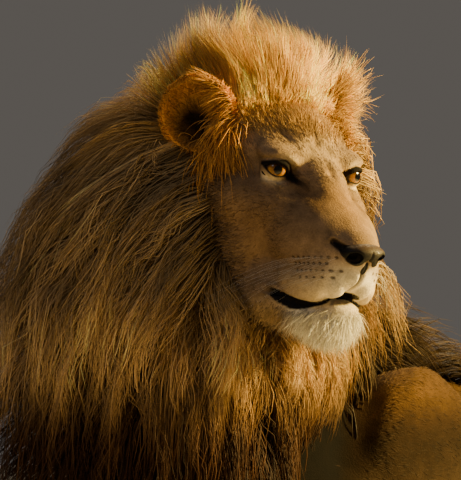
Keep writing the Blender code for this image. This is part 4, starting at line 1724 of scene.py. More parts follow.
@dataclass
class ShortCoat:
    """Short tufts that lie along the skin."""

    frame: HeadFrame
    ground: Field
    markings: Markings
    locks: Locks
    share: float = 1.0

    FACE_HALF, EAR, CHIN, BODY_HALF = 10500, 2400, 1500, 7500  # how many tufts each piece has

    def lay(
        self, name: str, roots: Roots, flow: Array, lengths: Array | float, width: Array | float,
        lift: Array | float, seed: int, tuft: Tuft = Tuft.SHORT, sweep: float = 0.25,
        dark: float = 0.62, uneven: float = 0.20,
    ) -> bpy.types.Object:
        """Grows one piece of tufts.

        Args:
            name: The piece's name.
            roots: Where the tufts grow.
            flow: Which way each lies.
            lengths: How long each is.
            width: Half its width at the root.
            lift: The slope at which it leaves the skin.
            seed: The seed of its unevenness.
            tuft: How many lengths it has.
            sweep: How far its direction strays.
            dark: The root's shade against the tip's.
            uneven: How far one tuft's shade is from another's.

        Returns:
            The piece.
        """
        rng = np.random.default_rng(seed)
        count, stations = len(roots), tuft.value + 1
        sideways = np.cross(flow, roots.normals)
        flow = unit(flow + sideways * rng.normal(0, sweep, (count, 1)))
        lengths = lengths * rng.uniform(0.75, 1.2, count)
        rise = np.broadcast_to(lift, count) * rng.uniform(0.6, 1.4, count)
        share = np.linspace(0, 1, stations)[None, :, None]
        reach = lengths[:, None, None] * share
        climb = rise[:, None, None] * reach * (1 - 0.45 * share)
        paths = roots.sunk(0.0008)[:, None] + flow[:, None] * reach + roots.normals[:, None] * climb
        step = np.arange(tuft.value)
        taper = np.where(step < tuft.value / 2, 1 - 0.15 * step, 1.35 * (1 - step / tuft.value) + 0.12)
        widths = np.broadcast_to(width, count)[:, None] * taper[None]
        colour = self.markings.coat(roots.points + flow * lengths[:, None] * 0.3)
        shade = rng.normal(1.0, uneven, (count, 1, 1))
        along = dark + (1.16 - dark) * share
        colours = np.clip(colour[:, None] * shade * along, 0, 1)
        return self.locks.build(name, paths, widths, roots, colours, "short")

    def sow(self, density: Array, count: int, seed: int) -> Roots:
        """Scatters this build's share of the roots over the skin."""
        return self.ground.sow(density, int(count * self.share), seed)

    def sow_half(self, density: Array, side: int, count: int, seed: int) -> Roots:
        """Scatters roots over one side of the head."""
        half = self.frame.to_local(self.ground.middles)[:, 1] * side > 0
        return self.sow(density * half, count, seed)

    def face(self) -> list[bpy.types.Object]:
        """The face's fur, in a left and a right piece."""
        local = folded(self.frame.to_local(self.ground.middles))
        on_face = ramp(hairline(local), -0.014, 0.004) * (local[:, 2] < 0.085)
        on_face = on_face * (away(local, EAR.place) > 0.066) * self.bare(local)
        fine = 1.0 + 0.9 * ramp(local[:, 0], 0.02, 0.09) + 1.0 * ramp(local[:, 2], 0.02, 0.07)
        made = []
        for seed, (word, side) in enumerate(SIDES):
            roots = self.sow_half(on_face * fine, side, self.FACE_HALF, 11 + seed)
            flow = Lie(self.frame).face(roots.points, roots.normals)
            lengths = self.face_length(folded(self.frame.to_local(roots.points)))
            lift = 0.22 + 0.38 * ramp(lengths, 0.008, 0.020)
            width = 0.00040 + 0.012 * lengths
            made.append(self.lay(f"face_fur_{word}", roots, flow, lengths, width, lift, 21 + seed))
        return made

    def bare(self, local: Array) -> Array:
        """0 on the lids' rims, the lips and under the nose leather, 1 elsewhere."""
        rim = ramp(EYE.gap_within(local, 0.045, 0.1), 0.0016, 0.004)
        tear, share = tear_gap(local)
        off_tear = np.maximum(ramp(tear, 0.002, 0.004), ramp(share, 0.2, 0.4))
        lips = 1 - np.clip(dark_lip(local) * 1.5, 0, 1)
        philtrum = 1 - bell(local[:, 1], 0.0022) * ramp(local[:, 0], 0.112, 0.122)
        return rim * lips * philtrum * off_tear * ramp(nose_distance(local), -0.001, 0.001)

    def face_length(self, local: Array) -> Array:
        """How long the face's fur is."""
        ahead, up = local[:, 0], local[:, 2]
        length = 0.0092 - 0.0045 * ramp(ahead, 0.03, 0.10)
        length = length + 0.012 * ramp(up, 0.030, 0.080)
        length = length + 0.010 * fade(hairline(local), 0.0, 0.035)
        chin = fade(up, -0.185, -0.168) * ramp(ahead, 0.03, 0.08)
        length = length + 0.011 * chin
        eye = away(local, EYE.centre)
        return length * (0.45 + 0.55 * ramp(eye, 0.024, 0.042))

    def beard(self) -> bpy.types.Object:
        """Long white hair that hangs from the chin and the lower lip."""
        local = folded(self.frame.to_local(self.ground.middles))
        place = ramp(local[:, 0], 0.045, 0.075) * fade(local[:, 2], -0.188, -0.174)
        place = place * ramp(local[:, 2], -0.232, -0.222) * self.bare(local)
        roots = self.sow(place, self.CHIN, 31)
        flow = Lie(self.frame).face(roots.points, roots.normals)
        return self.lay("chin_beard", roots, flow, 0.038, 0.00045, 0.30, 32, tuft=Tuft.MIDDLE,
                        sweep=0.30, dark=0.95)

    def ears(self) -> list[bpy.types.Object]:
        """The fur of both ears, thinner on their backs."""
        local = folded(self.frame.to_local(self.ground.middles))
        shade = (away(local, EAR.place) < 0.068) * np.where(EAR.to_ear(local)[:, 0] < -0.020, 0.25, 1.0)
        made = []
        for seed, (word, side) in enumerate(SIDES):
            roots = self.sow_half(shade, side, self.EAR, 41 + seed)
            flow = Lie(self.frame).ear(roots.points, roots.normals)
            made.append(self.lay(f"ear_fur_{word}", roots, flow, 0.012, 0.00060, 0.45, 51 + seed, sweep=0.5))
        return made

    def body(self, room: Array) -> list[bpy.types.Object]:
        """The fur of the trunk, the legs and the tail, in a front and a back piece.

        Args:
            room: How far each triangle of the skin is under the mane.

        Returns:
            The two pieces.
        """
        middles = self.ground.middles
        off_head = np.linalg.norm(self.frame.to_local(middles), axis=1) > 0.20
        bare = ((room < 0.030) | bare_shoulder(middles)) * off_head * (middles[:, 2] > 0.012)
        shown = 1.0 + 24.0 * hill(middles, (0.15, -0.22, 0.56), (0.18, 0.24, 0.14))
        feet = 1.0 + 0.8 * fade(middles[:, 2], 0.10, 0.20)
        made = []
        for seed, (word, low, high) in enumerate((("front", -9.0, 0.12), ("back", 0.12, 9.0))):
            part = (middles[:, 1] > low) & (middles[:, 1] <= high)
            roots = self.sow(bare * shown * feet * part, self.BODY_HALF, 61 + seed)
            flow = Lie(self.frame).body(roots.points, roots.normals)
            lengths = 0.012 + 0.005 * ramp(roots.points[:, 2], 0.10, 0.30)
            made.append(self.lay(f"body_fur_{word}", roots, flow, lengths, 0.00065, 0.09, 71 + seed,
                                 sweep=0.24, dark=0.9, uneven=0.24))
        return made


# ---------------------------------------------------------------- the mane
@dataclass(frozen=True)
class ManeZone:
    """A part of the mane that makes one piece."""

    name: str
    count: int
    tuft: Tuft
    width: float
    wave: float
    seed: int
    gather: float = 0.92


def at_withers(points: Array) -> Array:
    """1 behind the neck, where the hair lies calmer and thicker, 0 in front."""
    return ramp(points[..., 1], -0.40, -0.32)


def locks_taper(tuft: Tuft, loss: float, power: float) -> Array:
    """How wide a lock is at each station but the tip, against its root."""
    return 1.0 - loss * (np.arange(tuft.value) / tuft.value) ** power


@dataclass
class Guides:
    """The courses that the mane's locks follow, and where each starts."""

    starts: Array
    courses: Array
    lengths: Array
    tree: KDTree


@dataclass
class Mane:
    """The long hair: locks that rise from the skin to the CAD mane's outline and hang along it."""

    frame: HeadFrame
    nodes: dict[str, bpy.types.Object]
    ground: Field
    markings: Markings
    locks: Locks
    guide_count: int = 3000
    steps: int = 16
    share: float = 1.0

    ZONES = (
        ManeZone("mane_crown_left", 6600, Tuft.MIDDLE, 0.00062, 0.0025, 101, 0.25),
        ManeZone("mane_crown_right", 7100, Tuft.MIDDLE, 0.00062, 0.0025, 107, 0.25),
        ManeZone("mane_front_upper", 5800, Tuft.LONG, 0.00100, 0.0105, 102),
        ManeZone("mane_front_lower", 5100, Tuft.LONG, 0.00110, 0.007, 103),
        ManeZone("mane_back_upper", 2700, Tuft.LONG, 0.00125, 0.005, 104),
        ManeZone("mane_back_lower", 2500, Tuft.LONG, 0.00130, 0.007, 105),
        ManeZone("mane_ruff", 4600, Tuft.LONG, 0.00090, 0.008, 106),
    )

    WALL = 0.007  # the CAD mane's wall faces another node where that is nearer than this
    NEAR_ROOM = 6  # over how many places the room is evened out
    NEAR_GUIDES = 4  # how many guides a lock follows

    def __post_init__(self) -> None:
        """Reads the outline of the mane and how much room each place of the skin has under it."""
        self.outline = self.read_outline()
        self.room = self.measure_room()
        chosen = np.flatnonzero(self.room > 0)[::5]
        self.room_tree = tree_of(self.ground.middles[chosen])
        self.room_values = self.room[chosen]

    def read_outline(self) -> BVHTree:
        """The outer walls of the CAD mane, without those that face another node."""
        others = []
        for name, node in self.nodes.items():
            if name not in ("neck", "eye_left", "eye_right", "ear_left", "ear_right"):
                corners, _ = read_triangles(node.data)
                others.append(BVHTree.FromPolygons(read_points(node).tolist(), corners.tolist()))
        points = read_points(self.nodes["neck"])
        corners, _ = read_triangles(self.nodes["neck"].data)
        kept = []
        for corner in corners:
            middle = Vector(points[corner].mean(axis=0))
            if all(tree.find_nearest(middle, self.WALL)[0] is None for tree in others):
                kept.append(corner.tolist())
        return BVHTree.FromPolygons(points.tolist(), kept)

    def measure_room(self) -> Array:
        """How far the skin is under the mane's outline, at each triangle; 0 outside it."""
        low, high = (np.array(corner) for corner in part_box("neck"))
        middles = self.ground.middles
        normals = unit(self.ground.normals[self.ground.corners].mean(1))
        inside = ((middles > low) & (middles < high)).all(1)
        local = folded(self.frame.to_local(middles))
        face = (hairline(local) > 0.004) & (np.linalg.norm(local, axis=1) < 0.30)
        room = np.zeros(len(middles))
        for index in np.flatnonzero(inside & ~face):
            start, way = Vector(middles[index]), Vector(normals[index])
            hit, normal, _, reach = self.outline.ray_cast(start, way, 0.40)
            if hit is not None and normal.dot(way) > 0:
                room[index] = reach
        return room

    def room_at(self, points: Array) -> Array:
        """The room at places on the skin, evened out over their surroundings."""
        near = (self.room_tree.find_n(point, self.NEAR_ROOM) for point in points)
        return np.array([np.mean([self.room_values[item[1]] for item in row]) for row in near])

    def top_share(self, local: Array) -> Array:
        """1 on the crown, where the hair stands up, 0 where it hangs."""
        near = fade(away(local, (-0.10, 0, 0.02)), 0.20, 0.28)
        return ramp(local[:, 2], 0.000, 0.060) * near

    def flow(self, roots: Roots) -> Array:
        """Which way the hair sets out: away from the face, and down."""
        local = self.frame.to_local(roots.points)
        spread = local - (0.0, 0.0, -0.04)
        spread[:, 0] = 0.0
        spread = unit(spread)
        top = spread + (-0.55, 0.0, 0.25)
        far = ramp(local[:, 1], 0.020, 0.070) * ramp(local[:, 2], -0.16, -0.10)
        side = spread * (0.42 + 1.00 * far)[:, None] + (-0.60, 0.0, -0.70)
        chin = spread * 0.20 + (0.05, 0.0, -1.0)
        flow = mix(side, chin, fade(local[:, 2], -0.20, -0.13))
        flow = self.frame.turned_out(mix(flow, top, self.top_share(local)))
        hanging = roots.normals * (1.0, 1.0, 0.0) * 0.45 + np.array((0.0, 0.0, -1.0))
        off_head = ramp(away(local, (-0.08, 0, -0.03)), 0.17, 0.26)
        flow = mix(flow, hanging, off_head)
        nape = ramp(roots.points[:, 1], -0.42, -0.26)
        flow = mix(flow, np.array((0.30, 0.90, 0.14)), nape * off_head)
        return unit(flow)

    def guide_lengths(self, roots: Roots, room: Array, rng: np.random.Generator) -> Array:
        """How long the hair is from each guide's root."""
        local = self.frame.to_local(roots.points)
        top = self.top_share(local)
        hang = 0.255 + 0.03 * rng.normal(0, 1, len(roots))
        chin = fade(local[:, 2], -0.20, -0.13)
        near = fade(away(local, (0, 0, -0.08)), 0.16, 0.24)
        hang = hang * (1 - 0.50 * chin * near)
        withers = ramp(roots.points[:, 1], -0.36, -0.22)
        hang = hang * (1 - 0.25 * withers)
        rise = 0.020 + 0.030 * ramp(local[:, 1], -0.04, 0.05)
        tall = (0.72 + 0.28 * ramp(local[:, 1], -0.09, 0.01)) * np.clip(room * 1.2 + rise, 0.05, 0.17)
        length = hang * (1 - top) + tall * top
        edge = hairline(folded(local))
        start = 0.20 + 0.80 * ramp(-edge, -0.004, 0.060)
        start = np.where(top > 0.5, start, 0.45 + 0.55 * start)
        return length * np.where(near > 0.2, start, 1.0)

    def by_shoulder(self, points: Array) -> Array:
        """1 on the chest beside the left shoulder, where the mane lies close."""
        along = points[:, 0] + points[:, 1]
        return ramp(along, -0.36, -0.24) * fade(points[:, 2], 0.64, 0.74) * (points[:, 0] > 0)

    def beyond_outline(self, points: Array) -> Array:
        """How far the hair from places on the skin may pass the CAD mane's outline, or stays short of it.

        Args:
            points: The places.

        Returns:
            For each how far out: negative where the hair stays inside.
        """
        local = self.frame.to_local(points)
        beyond = 0.048 * ramp(local[:, 1], 0.030, 0.080) * (np.linalg.norm(local, axis=1) < 0.24)
        below = fade(local[:, 2], -0.150, -0.080)
        beyond = beyond * (1 - below) - 0.055 * ramp(local[:, 1], 0.010, 0.070) * below
        lifted = 0.016 * ramp(local[:, 2], -0.060, 0.000) * ramp(local[:, 1], -0.07, -0.02)
        nape = 0.060 * ramp(points[:, 1], -0.38, -0.26) * (local[:, 0] < -0.1)
        for least in (lifted, nape):
            beyond = np.where(least > 0, np.maximum(beyond, least), beyond)
        return beyond - 0.015 * self.by_shoulder(points)

    def grow_guides(self) -> Guides:
        """Lets each guide rise to its layer of the mane and fall along it.

        Returns:
            The guides.
        """
        rng = np.random.default_rng(7)
        local = self.frame.to_local(self.ground.middles)
        density = (self.room > 0.012) * (1.0 + 2.5 * self.top_share(local))
        roots = self.ground.sow(density, self.guide_count, 8)
        room = self.room_at(roots.points)
        top = self.top_share(self.frame.to_local(roots.points))
        lengths = self.guide_lengths(roots, room, rng) * (1 - 0.15 * self.by_shoulder(roots.points))
        thin = 0.80 - 0.25 * ramp(roots.points[:, 2], 0.62, 0.70)
        fill = 1.0 - thin * rng.random(len(roots)) ** 1.8
        lift = 0.45 + 0.30 * rng.random(len(roots))
        flow = self.flow(roots)
        way = unit(flow * (1 - lift[:, None]) + roots.normals * lift[:, None])
        place = roots.points.copy()
        courses = [place]
        step = lengths / self.steps
        beyond = self.beyond_outline(roots.points)
        want = (1 - fill) * room + 0.003 - beyond
        turn = (0.42 - 0.24 * top)[:, None]
        for index in range(self.steps):
            depth, outwards = self.depth(place)
            rise = np.clip((depth - want) / 0.045, -1.0, 1.0)
            fall = (0.15 + 0.55 * index / self.steps) * (1 - top)
            aim = mix(flow, np.array((0.0, 0.0, -1.0)), fall)
            aim = aim - outwards * (aim * outwards).sum(1, keepdims=True)
            aim = unit(aim) + outwards * (rise * (1.25 - 0.75 * top))[:, None]
            way = unit(way * (1 - turn) + unit(aim) * turn)
            place = place + way * step[:, None]
            over = np.clip(0.002 - beyond - self.depth(place)[0], 0.0, 0.012)
            place = place - outwards * (over * (1 - 0.5 * top))[:, None]
            courses.append(place)
        return Guides(roots.points, np.stack(courses, 1), lengths, tree_of(roots.points))

    def depth(self, points: Array) -> tuple[Array, Array]:
        """How deep points are under the mane's outline, and which way is out.

        Args:
            points: The points.

        Returns:
            The depths, and the outline's normals nearest to them.
        """
        depth, outwards = np.empty(len(points)), np.empty((len(points), 3))
        for index, point in enumerate(points):
            spot, normal, _, _ = self.outline.find_nearest(Vector(point))
            outwards[index] = normal
            depth[index] = (spot - Vector(point)).dot(normal)
        return depth, outwards

    def zone_density(self, zone: ManeZone) -> Array:
        """How thickly a zone is sown, at each triangle."""
        middles = self.ground.middles
        local = self.frame.to_local(middles)
        crown = (local[:, 2] > 0.010) & (np.linalg.norm(local, axis=1) < 0.30)
        chin = (local[:, 2] < -0.150) & (away(local, (0, 0, -0.1)) < 0.17)
        front = (middles[:, 0] - middles[:, 1] - 0.52) > 0
        low = middles[:, 2] < 0.66
        parts = {
            "mane_crown_left": crown & (local[:, 1] > 0),
            "mane_crown_right": crown & (local[:, 1] <= 0),
            "mane_ruff": chin & ~crown,
            "mane_front_upper": front & ~low & ~crown & ~chin,
            "mane_front_lower": front & low & ~chin,
            "mane_back_upper": ~front & ~low & ~crown & ~chin,
            "mane_back_lower": ~front & low & ~chin,
        }
        rooted = (self.room > 0.006) * (1.0 + 1.8 * at_withers(middles) * (middles[:, 2] > 0.58))
        rooted = rooted * ~bare_shoulder(middles)
        edge = 1.0 + 1.2 * fade(np.abs(hairline(folded(local))), 0.0, 0.05)
        return rooted * parts[zone.name] * np.where(np.linalg.norm(local, axis=1) < 0.25, edge, 1.0)

    def build(self) -> list[bpy.types.Object]:
        """Grows the guides, then the locks of each zone."""
        self.guides = self.grow_guides()
        made = {zone.name: self.grow_zone(zone) for zone in self.ZONES}
        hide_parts("neck")
        return list(made.values())

    def grow_zone(self, zone: ManeZone) -> bpy.types.Object:
        """Grows the locks of one zone along the guides.

        Args:
            zone: The zone.

        Returns:
            The piece.
        """
        rng = np.random.default_rng(zone.seed)
        count = int(zone.count * self.share)
        roots = self.ground.sow(self.zone_density(zone), count, zone.seed)
        near = [self.guides.tree.find_n(point, self.NEAR_GUIDES) for point in roots.points]
        around = np.array([[item[1] for item in row] for row in near])
        weight = 1.0 / (np.array([[item[2] for item in row] for row in near]) + 0.004) ** 2
        weight = weight / weight.sum(1, keepdims=True)
        picked = around[:, 0]
        share = np.linspace(0, 1, zone.tuft.value + 1) ** 0.92
        reach = rng.uniform(0.50, 1.06, count)
        along = share[None, :] * np.minimum(reach[:, None], 1.0)
        paths = np.repeat(roots.points[:, None], len(share), axis=1)
        for guide, pull in zip(around.T, weight.T):
            course = self.follow(guide, along) - self.guides.starts[guide, None]
            paths = paths + course * pull[:, None, None]
        gather = rng.uniform(0.45 * zone.gather, zone.gather, count)
        paths = mix(paths, self.follow(picked, along), gather[:, None] * share[None, :] ** 1.3)
        extra = np.maximum(reach - 1.0, 0.0)
        last = unit(paths[:, -1] - paths[:, -2])
        paths[:, -1] += last * (extra * self.guides.lengths[picked])[:, None]
        paths = paths + self.waves(zone, picked, paths, share, rng)
        paths[:, 0] = roots.sunk()
        keep = self.clear_of_ears(paths) & self.clear_of_face(paths)
        paths, roots, picked = paths[keep], roots.chosen(keep), picked[keep]
        width = zone.width * rng.uniform(0.65, 1.35, (len(paths), 1)) * locks_taper(zone.tuft, 0.80, 1.6)
        width = width * (1 + 0.35 * at_withers(paths[:, 0]))[:, None]
        colours = self.colours(paths, picked, share, zone.seed)
        return self.locks.build(zone.name, paths, width, roots, colours, "mane")

    def follow(self, picked: Array, share: Array) -> Array:
        """The guides' courses at shares of their length."""
        place = np.clip(share, 0, 1) * self.steps
        low = np.minimum(place.astype(int), self.steps - 1)
        part = (place - low)[:, :, None]
        rows = picked[:, None]
        courses = self.guides.courses
        return courses[rows, low] * (1 - part) + courses[rows, low + 1] * part

    def waves(
        self, zone: ManeZone, picked: Array, paths: Array, share: Array, rng: np.random.Generator
    ) -> Array:
        """The lazy waves of the locks, and the fine straying of single hairs."""
        count = len(picked)
        each = np.random.default_rng(5)
        phase = each.uniform(0, 2 * math.pi, self.guide_count)[picked]
        period = each.uniform(0.085, 0.150, self.guide_count)[picked]
        sideways = unit(each.normal(0, 1, (self.guide_count, 3)))[picked]
        phase = phase + rng.normal(0, 0.35, count)
        along = share[None, :] * self.guides.lengths[picked][:, None]
        swing = np.sin(2 * math.pi * along / period[:, None] + phase[:, None])
        size = zone.wave * (0.55 * np.minimum(share * 2.2, 1.0) + 0.9 * share**3)[None, :]
        stray = rng.normal(0, 1, (count, 3)) * 0.005
        turn = rng.normal(0, 1, (count, 3)) * 0.003
        rise = share[None, :, None] ** 1.6
        bend = np.sin(share * math.pi)[None, :, None]
        calm = (1 - 0.6 * at_withers(paths[:, 0]))[:, None, None]
        return calm * (
            sideways[:, None, :] * (swing * size)[:, :, None]
            + stray[:, None, :] * rise
            + turn[:, None, :] * bend
        )

    def clear_of_ears(self, paths: Array) -> Array:
        """Which locks stay off the ears and out of the room in front of them."""
        flat = folded(self.frame.to_local(paths[:, 1:].reshape(-1, 3)))
        place = EAR.to_ear(flat)
        shell = Ball((-0.012, 0, 0), (0.040, 0.053, 0.056)).distance(place)
        front = Ball((0.070, 0.004, -0.002), (0.085, 0.046, 0.046)).distance(place)
        far = np.repeat(self.frame.to_local(paths[:, 0])[:, 1] > 0, paths.shape[1] - 1)
        blocked = (np.where(far, shell + 0.020, np.minimum(shell, front)) < 0).reshape(len(paths), -1)
        return ~blocked.any(1)

    def clear_of_face(self, paths: Array) -> Array:
        """Which locks stay behind the face."""
        local = folded(self.frame.to_local(paths.reshape(-1, 3)))
        over = (hairline(local) > 0.030) & (local[:, 2] > -0.20) & (local[:, 1] < 0.15)
        return ~over.reshape(len(paths), -1).any(1)

    def colours(self, paths: Array, picked: Array, share: Array, seed: int) -> Array:
        """Each lock's colour along it: by place, by lock and by hair, paler at the tips."""
        rng = np.random.default_rng(seed + 50)
        count = len(paths)
        each = np.random.default_rng(6)
        lock = each.normal(0, 0.28, self.guide_count)[picked]
        place = paths * 0.4 + paths[:, :1] * 0.6
        colour = self.markings.mane(place.reshape(-1, 3)).reshape(paths.shape)
        shade = np.exp(lock + rng.normal(0, 0.18, count))[:, None, None]
        crown = ramp(self.frame.to_local(paths[:, 0])[:, 2], 0.030, 0.070)[:, None, None]
        along = (0.55 + 0.30 * crown) + (0.62 - 0.30 * crown) * share[None, :, None]
        pale = rng.random(count) < 0.20
        high = ramp(paths[:, -1, 2], 0.50, 0.70)
        high = high * fade(paths[:, 0, 1], -0.42, -0.34)
        light = mix(colour, tone("straw") * (1.05, 1.0, 0.95), (pale * high * 0.65)[:, None] * share[None])
        height = paths[:, :, 2]
        tip = bell(height, 0.060, 0.655) * share**1.5 * (rng.random(count) < 0.75)[:, None]
        tip = tip * fade(paths[:, :, 1], -0.42, -0.34)
        light = mix(light, tone("straw") * (1.30, 1.25, 1.25), 0.75 * tip)
        # Partly darker hair, partly painted shade: the lowest hair made much darker.
        dim = mix(1.0, np.array((0.28, 0.22, 0.22)), fade(height, 0.53, 0.63))
        return np.clip(light * shade * along * dim, 0.003, 0.9)


@dataclass
class EarHair:
    """The long hair of the ears: it crosses the opening, and hangs before it along the cheek."""

    frame: HeadFrame
    ground: Field
    locks: Locks
    count: int = 1150

    def build(self) -> list[bpy.types.Object]:
        """Grows both ears' hair."""
        return [self.grow(word, side) for word, side in SIDES]

    def grow(self, word: str, side: int) -> bpy.types.Object:
        """Grows one ear's hair from the edge of its opening that is nearest the brow."""
        rng = np.random.default_rng(83 + side)
        signed = self.frame.to_local(self.ground.middles)
        place = EAR.to_ear(folded(signed))
        ahead, out, up = place.T
        edge = (out > -0.068) & (out < -0.022)
        under = (out > -0.066) & (out < 0.010) & (up < -0.030)
        near = (np.abs(up) < 0.066) & (ahead < 0.045) & (signed[:, 1] * side > 0)
        sown = (edge | under) & (ahead > -0.016) & near & (signed[:, 0] < -0.060)
        roots = self.ground.sow(sown, self.count, 85 + side)
        start = EAR.to_ear(folded(self.frame.to_local(roots.points)))
        low = fade(start[:, 2], -0.036, -0.004)
        high = ramp(start[:, 2], 0.000, 0.040)
        first = np.stack([0.55 - 0.30 * low, 0.45 - 0.40 * low, 0.10 - 0.45 * low + 0.5 * high], 1)
        last = np.stack([-0.10 - 0.45 * low, 0.95 - 0.75 * low, -0.75 - 0.60 * low + 0.9 * high], 1)
        if side > 0:
            first, last = first + (-0.2, -0.3, 0.4), last + (0.2, -0.5, 0.5)
        first = unit(first + rng.normal(0, 0.22, first.shape))
        last = unit(last + rng.normal(0, 0.26, last.shape))
        length = rng.uniform(0.016, 0.036, self.count) * (1.9 if side > 0 else 1.0) * (1 - low)
        length = length + rng.uniform(0.04, 0.105, self.count) * low
        share = np.linspace(0, 1, Tuft.LONG.value + 1)[None, :, None]
        course = first[:, None] * (share - 0.5 * share**2) + last[:, None] * 0.5 * share**2
        course = course * length[:, None, None] * 1.25
        course = EAR.turned_out(course) * (1, side, 1)
        paths = roots.points[:, None] + self.frame.turned_out(course)
        paths[:, 0] -= roots.normals * 0.001
        width = 0.00065 * rng.uniform(0.6, 1.3, (self.count, 1)) * locks_taper(Tuft.LONG, 0.8, 1.5)
        shade = np.exp(rng.normal(0, 0.20, (self.count, 1, 1))) * (0.62 + 0.45 * share)
        warm = tone("golden") * ((0.85, 0.80, 0.60) if side > 0 else (1.15, 0.92, 0.80))
        colour = mix(warm, tone("straw") * (1.0, 0.90, 0.60), rng.random(self.count) * 0.5)
        colours = np.clip(colour[:, None] * shade, 0, 1)
        return self.locks.build(f"ear_hair_{word}", paths, width, roots, colours, "mane")


@dataclass
class TailTuft:
    """The dark tassel at the end of the tail."""

    ground: Field
    locks: Locks
    count: int = 1400

    def build(self) -> bpy.types.Object:
        """Grows it from the tail's last stretch, out to the CAD tuft's outline."""
        low, high = (np.array(corner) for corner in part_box("tail_tuft"))
        rng = np.random.default_rng(91)
        middles = self.ground.middles
        near = (np.abs(middles[:, 0] - (low[0] + high[0]) / 2) < 0.06) & (middles[:, 2] < 0.12)
        near = near & (middles[:, 1] > low[1] - 0.02) & (middles[:, 1] < high[1] + 0.05)
        roots = self.ground.sow(near.astype(float), self.count, 92)
        share = np.linspace(0, 1, Tuft.MIDDLE.value + 1)
        tip = np.array([(low[0] + high[0]) / 2 - 0.012, low[1] + 0.012, 0.016])
        middle = np.array([(low[0] + high[0]) / 2, 0.0, 0.034])
        reach = rng.uniform(0.06, 0.13, self.count)
        aim = unit(tip - roots.points + rng.normal(0, 0.012, (self.count, 3)))
        bulge = roots.points - middle
        bulge[:, 1] = 0
        bulge = unit(bulge) * rng.uniform(0.002, 0.020, (self.count, 1))
        paths = roots.points[:, None] + aim[:, None] * reach[:, None, None] * share[None, :, None]
        paths = paths + bulge[:, None] * np.sin(share * math.pi)[None, :, None]
        paths[:, :, 2] = np.maximum(paths[:, :, 2], 0.002)
        paths[:, :, 1] = np.maximum(paths[:, :, 1], low[1] - 0.004)
        paths[:, 0] = roots.sunk()
        width = 0.0012 * rng.uniform(0.7, 1.3, (self.count, 1)) * np.array([[1.0, 0.95, 0.8, 0.5]])
        shade = np.exp(rng.normal(0, 0.3, (self.count, 1, 1)))
        colours = np.broadcast_to(tone("umber") * 0.9, paths.shape) * shade
        made = self.locks.build("tail_tassel", paths, width, roots, np.clip(colours, 0, 1), "mane")
        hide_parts("tail_tuft")
        return made


@dataclass
class Whiskers:
    """The bristles that stand out of the whisker pads."""

    frame: HeadFrame
    skin: Skin
    ground: Field
    locks: Locks

    def build(self) -> bpy.types.Object:
        """Grows a whisker from each dark spot, curving out, back and down."""
        rng = np.random.default_rng(81)
        left = np.array([place for _, _, place in whisker_roots()])
        lengths = [0.120 - 0.070 * share - 0.010 * abs(row - 2) for row, share, _ in whisker_roots()]
        local = np.concatenate([left, left * (1, -1, 1)])
        local = self.skin.settled(local, 6)
        side = np.where(local[:, 1] < 0, -1.0, 1.0)[:, None]
        lengths = np.tile(np.array(lengths), 2) * rng.uniform(0.8, 1.1, len(local))
        share = np.linspace(0, 1, Tuft.BRISTLE.value + 1)
        out = unit(np.array([[-0.25, 1.0, -0.12]]) + rng.normal(0, 0.10, local.shape))
        out[:, 1:2] *= side
        bend = np.array([[-0.45, 0.0, -0.55]])
        paths = (
            local[:, None]
            + out[:, None] * lengths[:, None, None] * share[None, :, None]
            + bend[:, None] * lengths[:, None, None] * (share**2)[None, :, None]
        )
        world = self.frame.to_world(paths)
        facing = np.tile(self.frame.turned_out(np.array([0.0, 0.0, 1.0])), (len(world), 1))
        width = np.full((len(world), 1), 0.00030) * (1 - 0.85 * share[:-1])[None]
        colours = np.broadcast_to(tone("white"), world.shape)
        tree = tree_of(self.ground.middles)
        spots = np.array([self.ground.spots[tree.find(path[0])[1]].mean(axis=0) for path in world])
        return self.locks.build(
            "whiskers", world, width, Roots(world[:, 0], facing, spots), colours, "whisker"
        )


# ---------------------------------------------------------------- the studio
@dataclass(frozen=True)
class Lamp:
    """A soft light: its bearing round the head, its height, its reach and its strength."""

    name: str
    bearing: float
    height: float
    reach: float
    size: float
    power: float
    colour: Triple


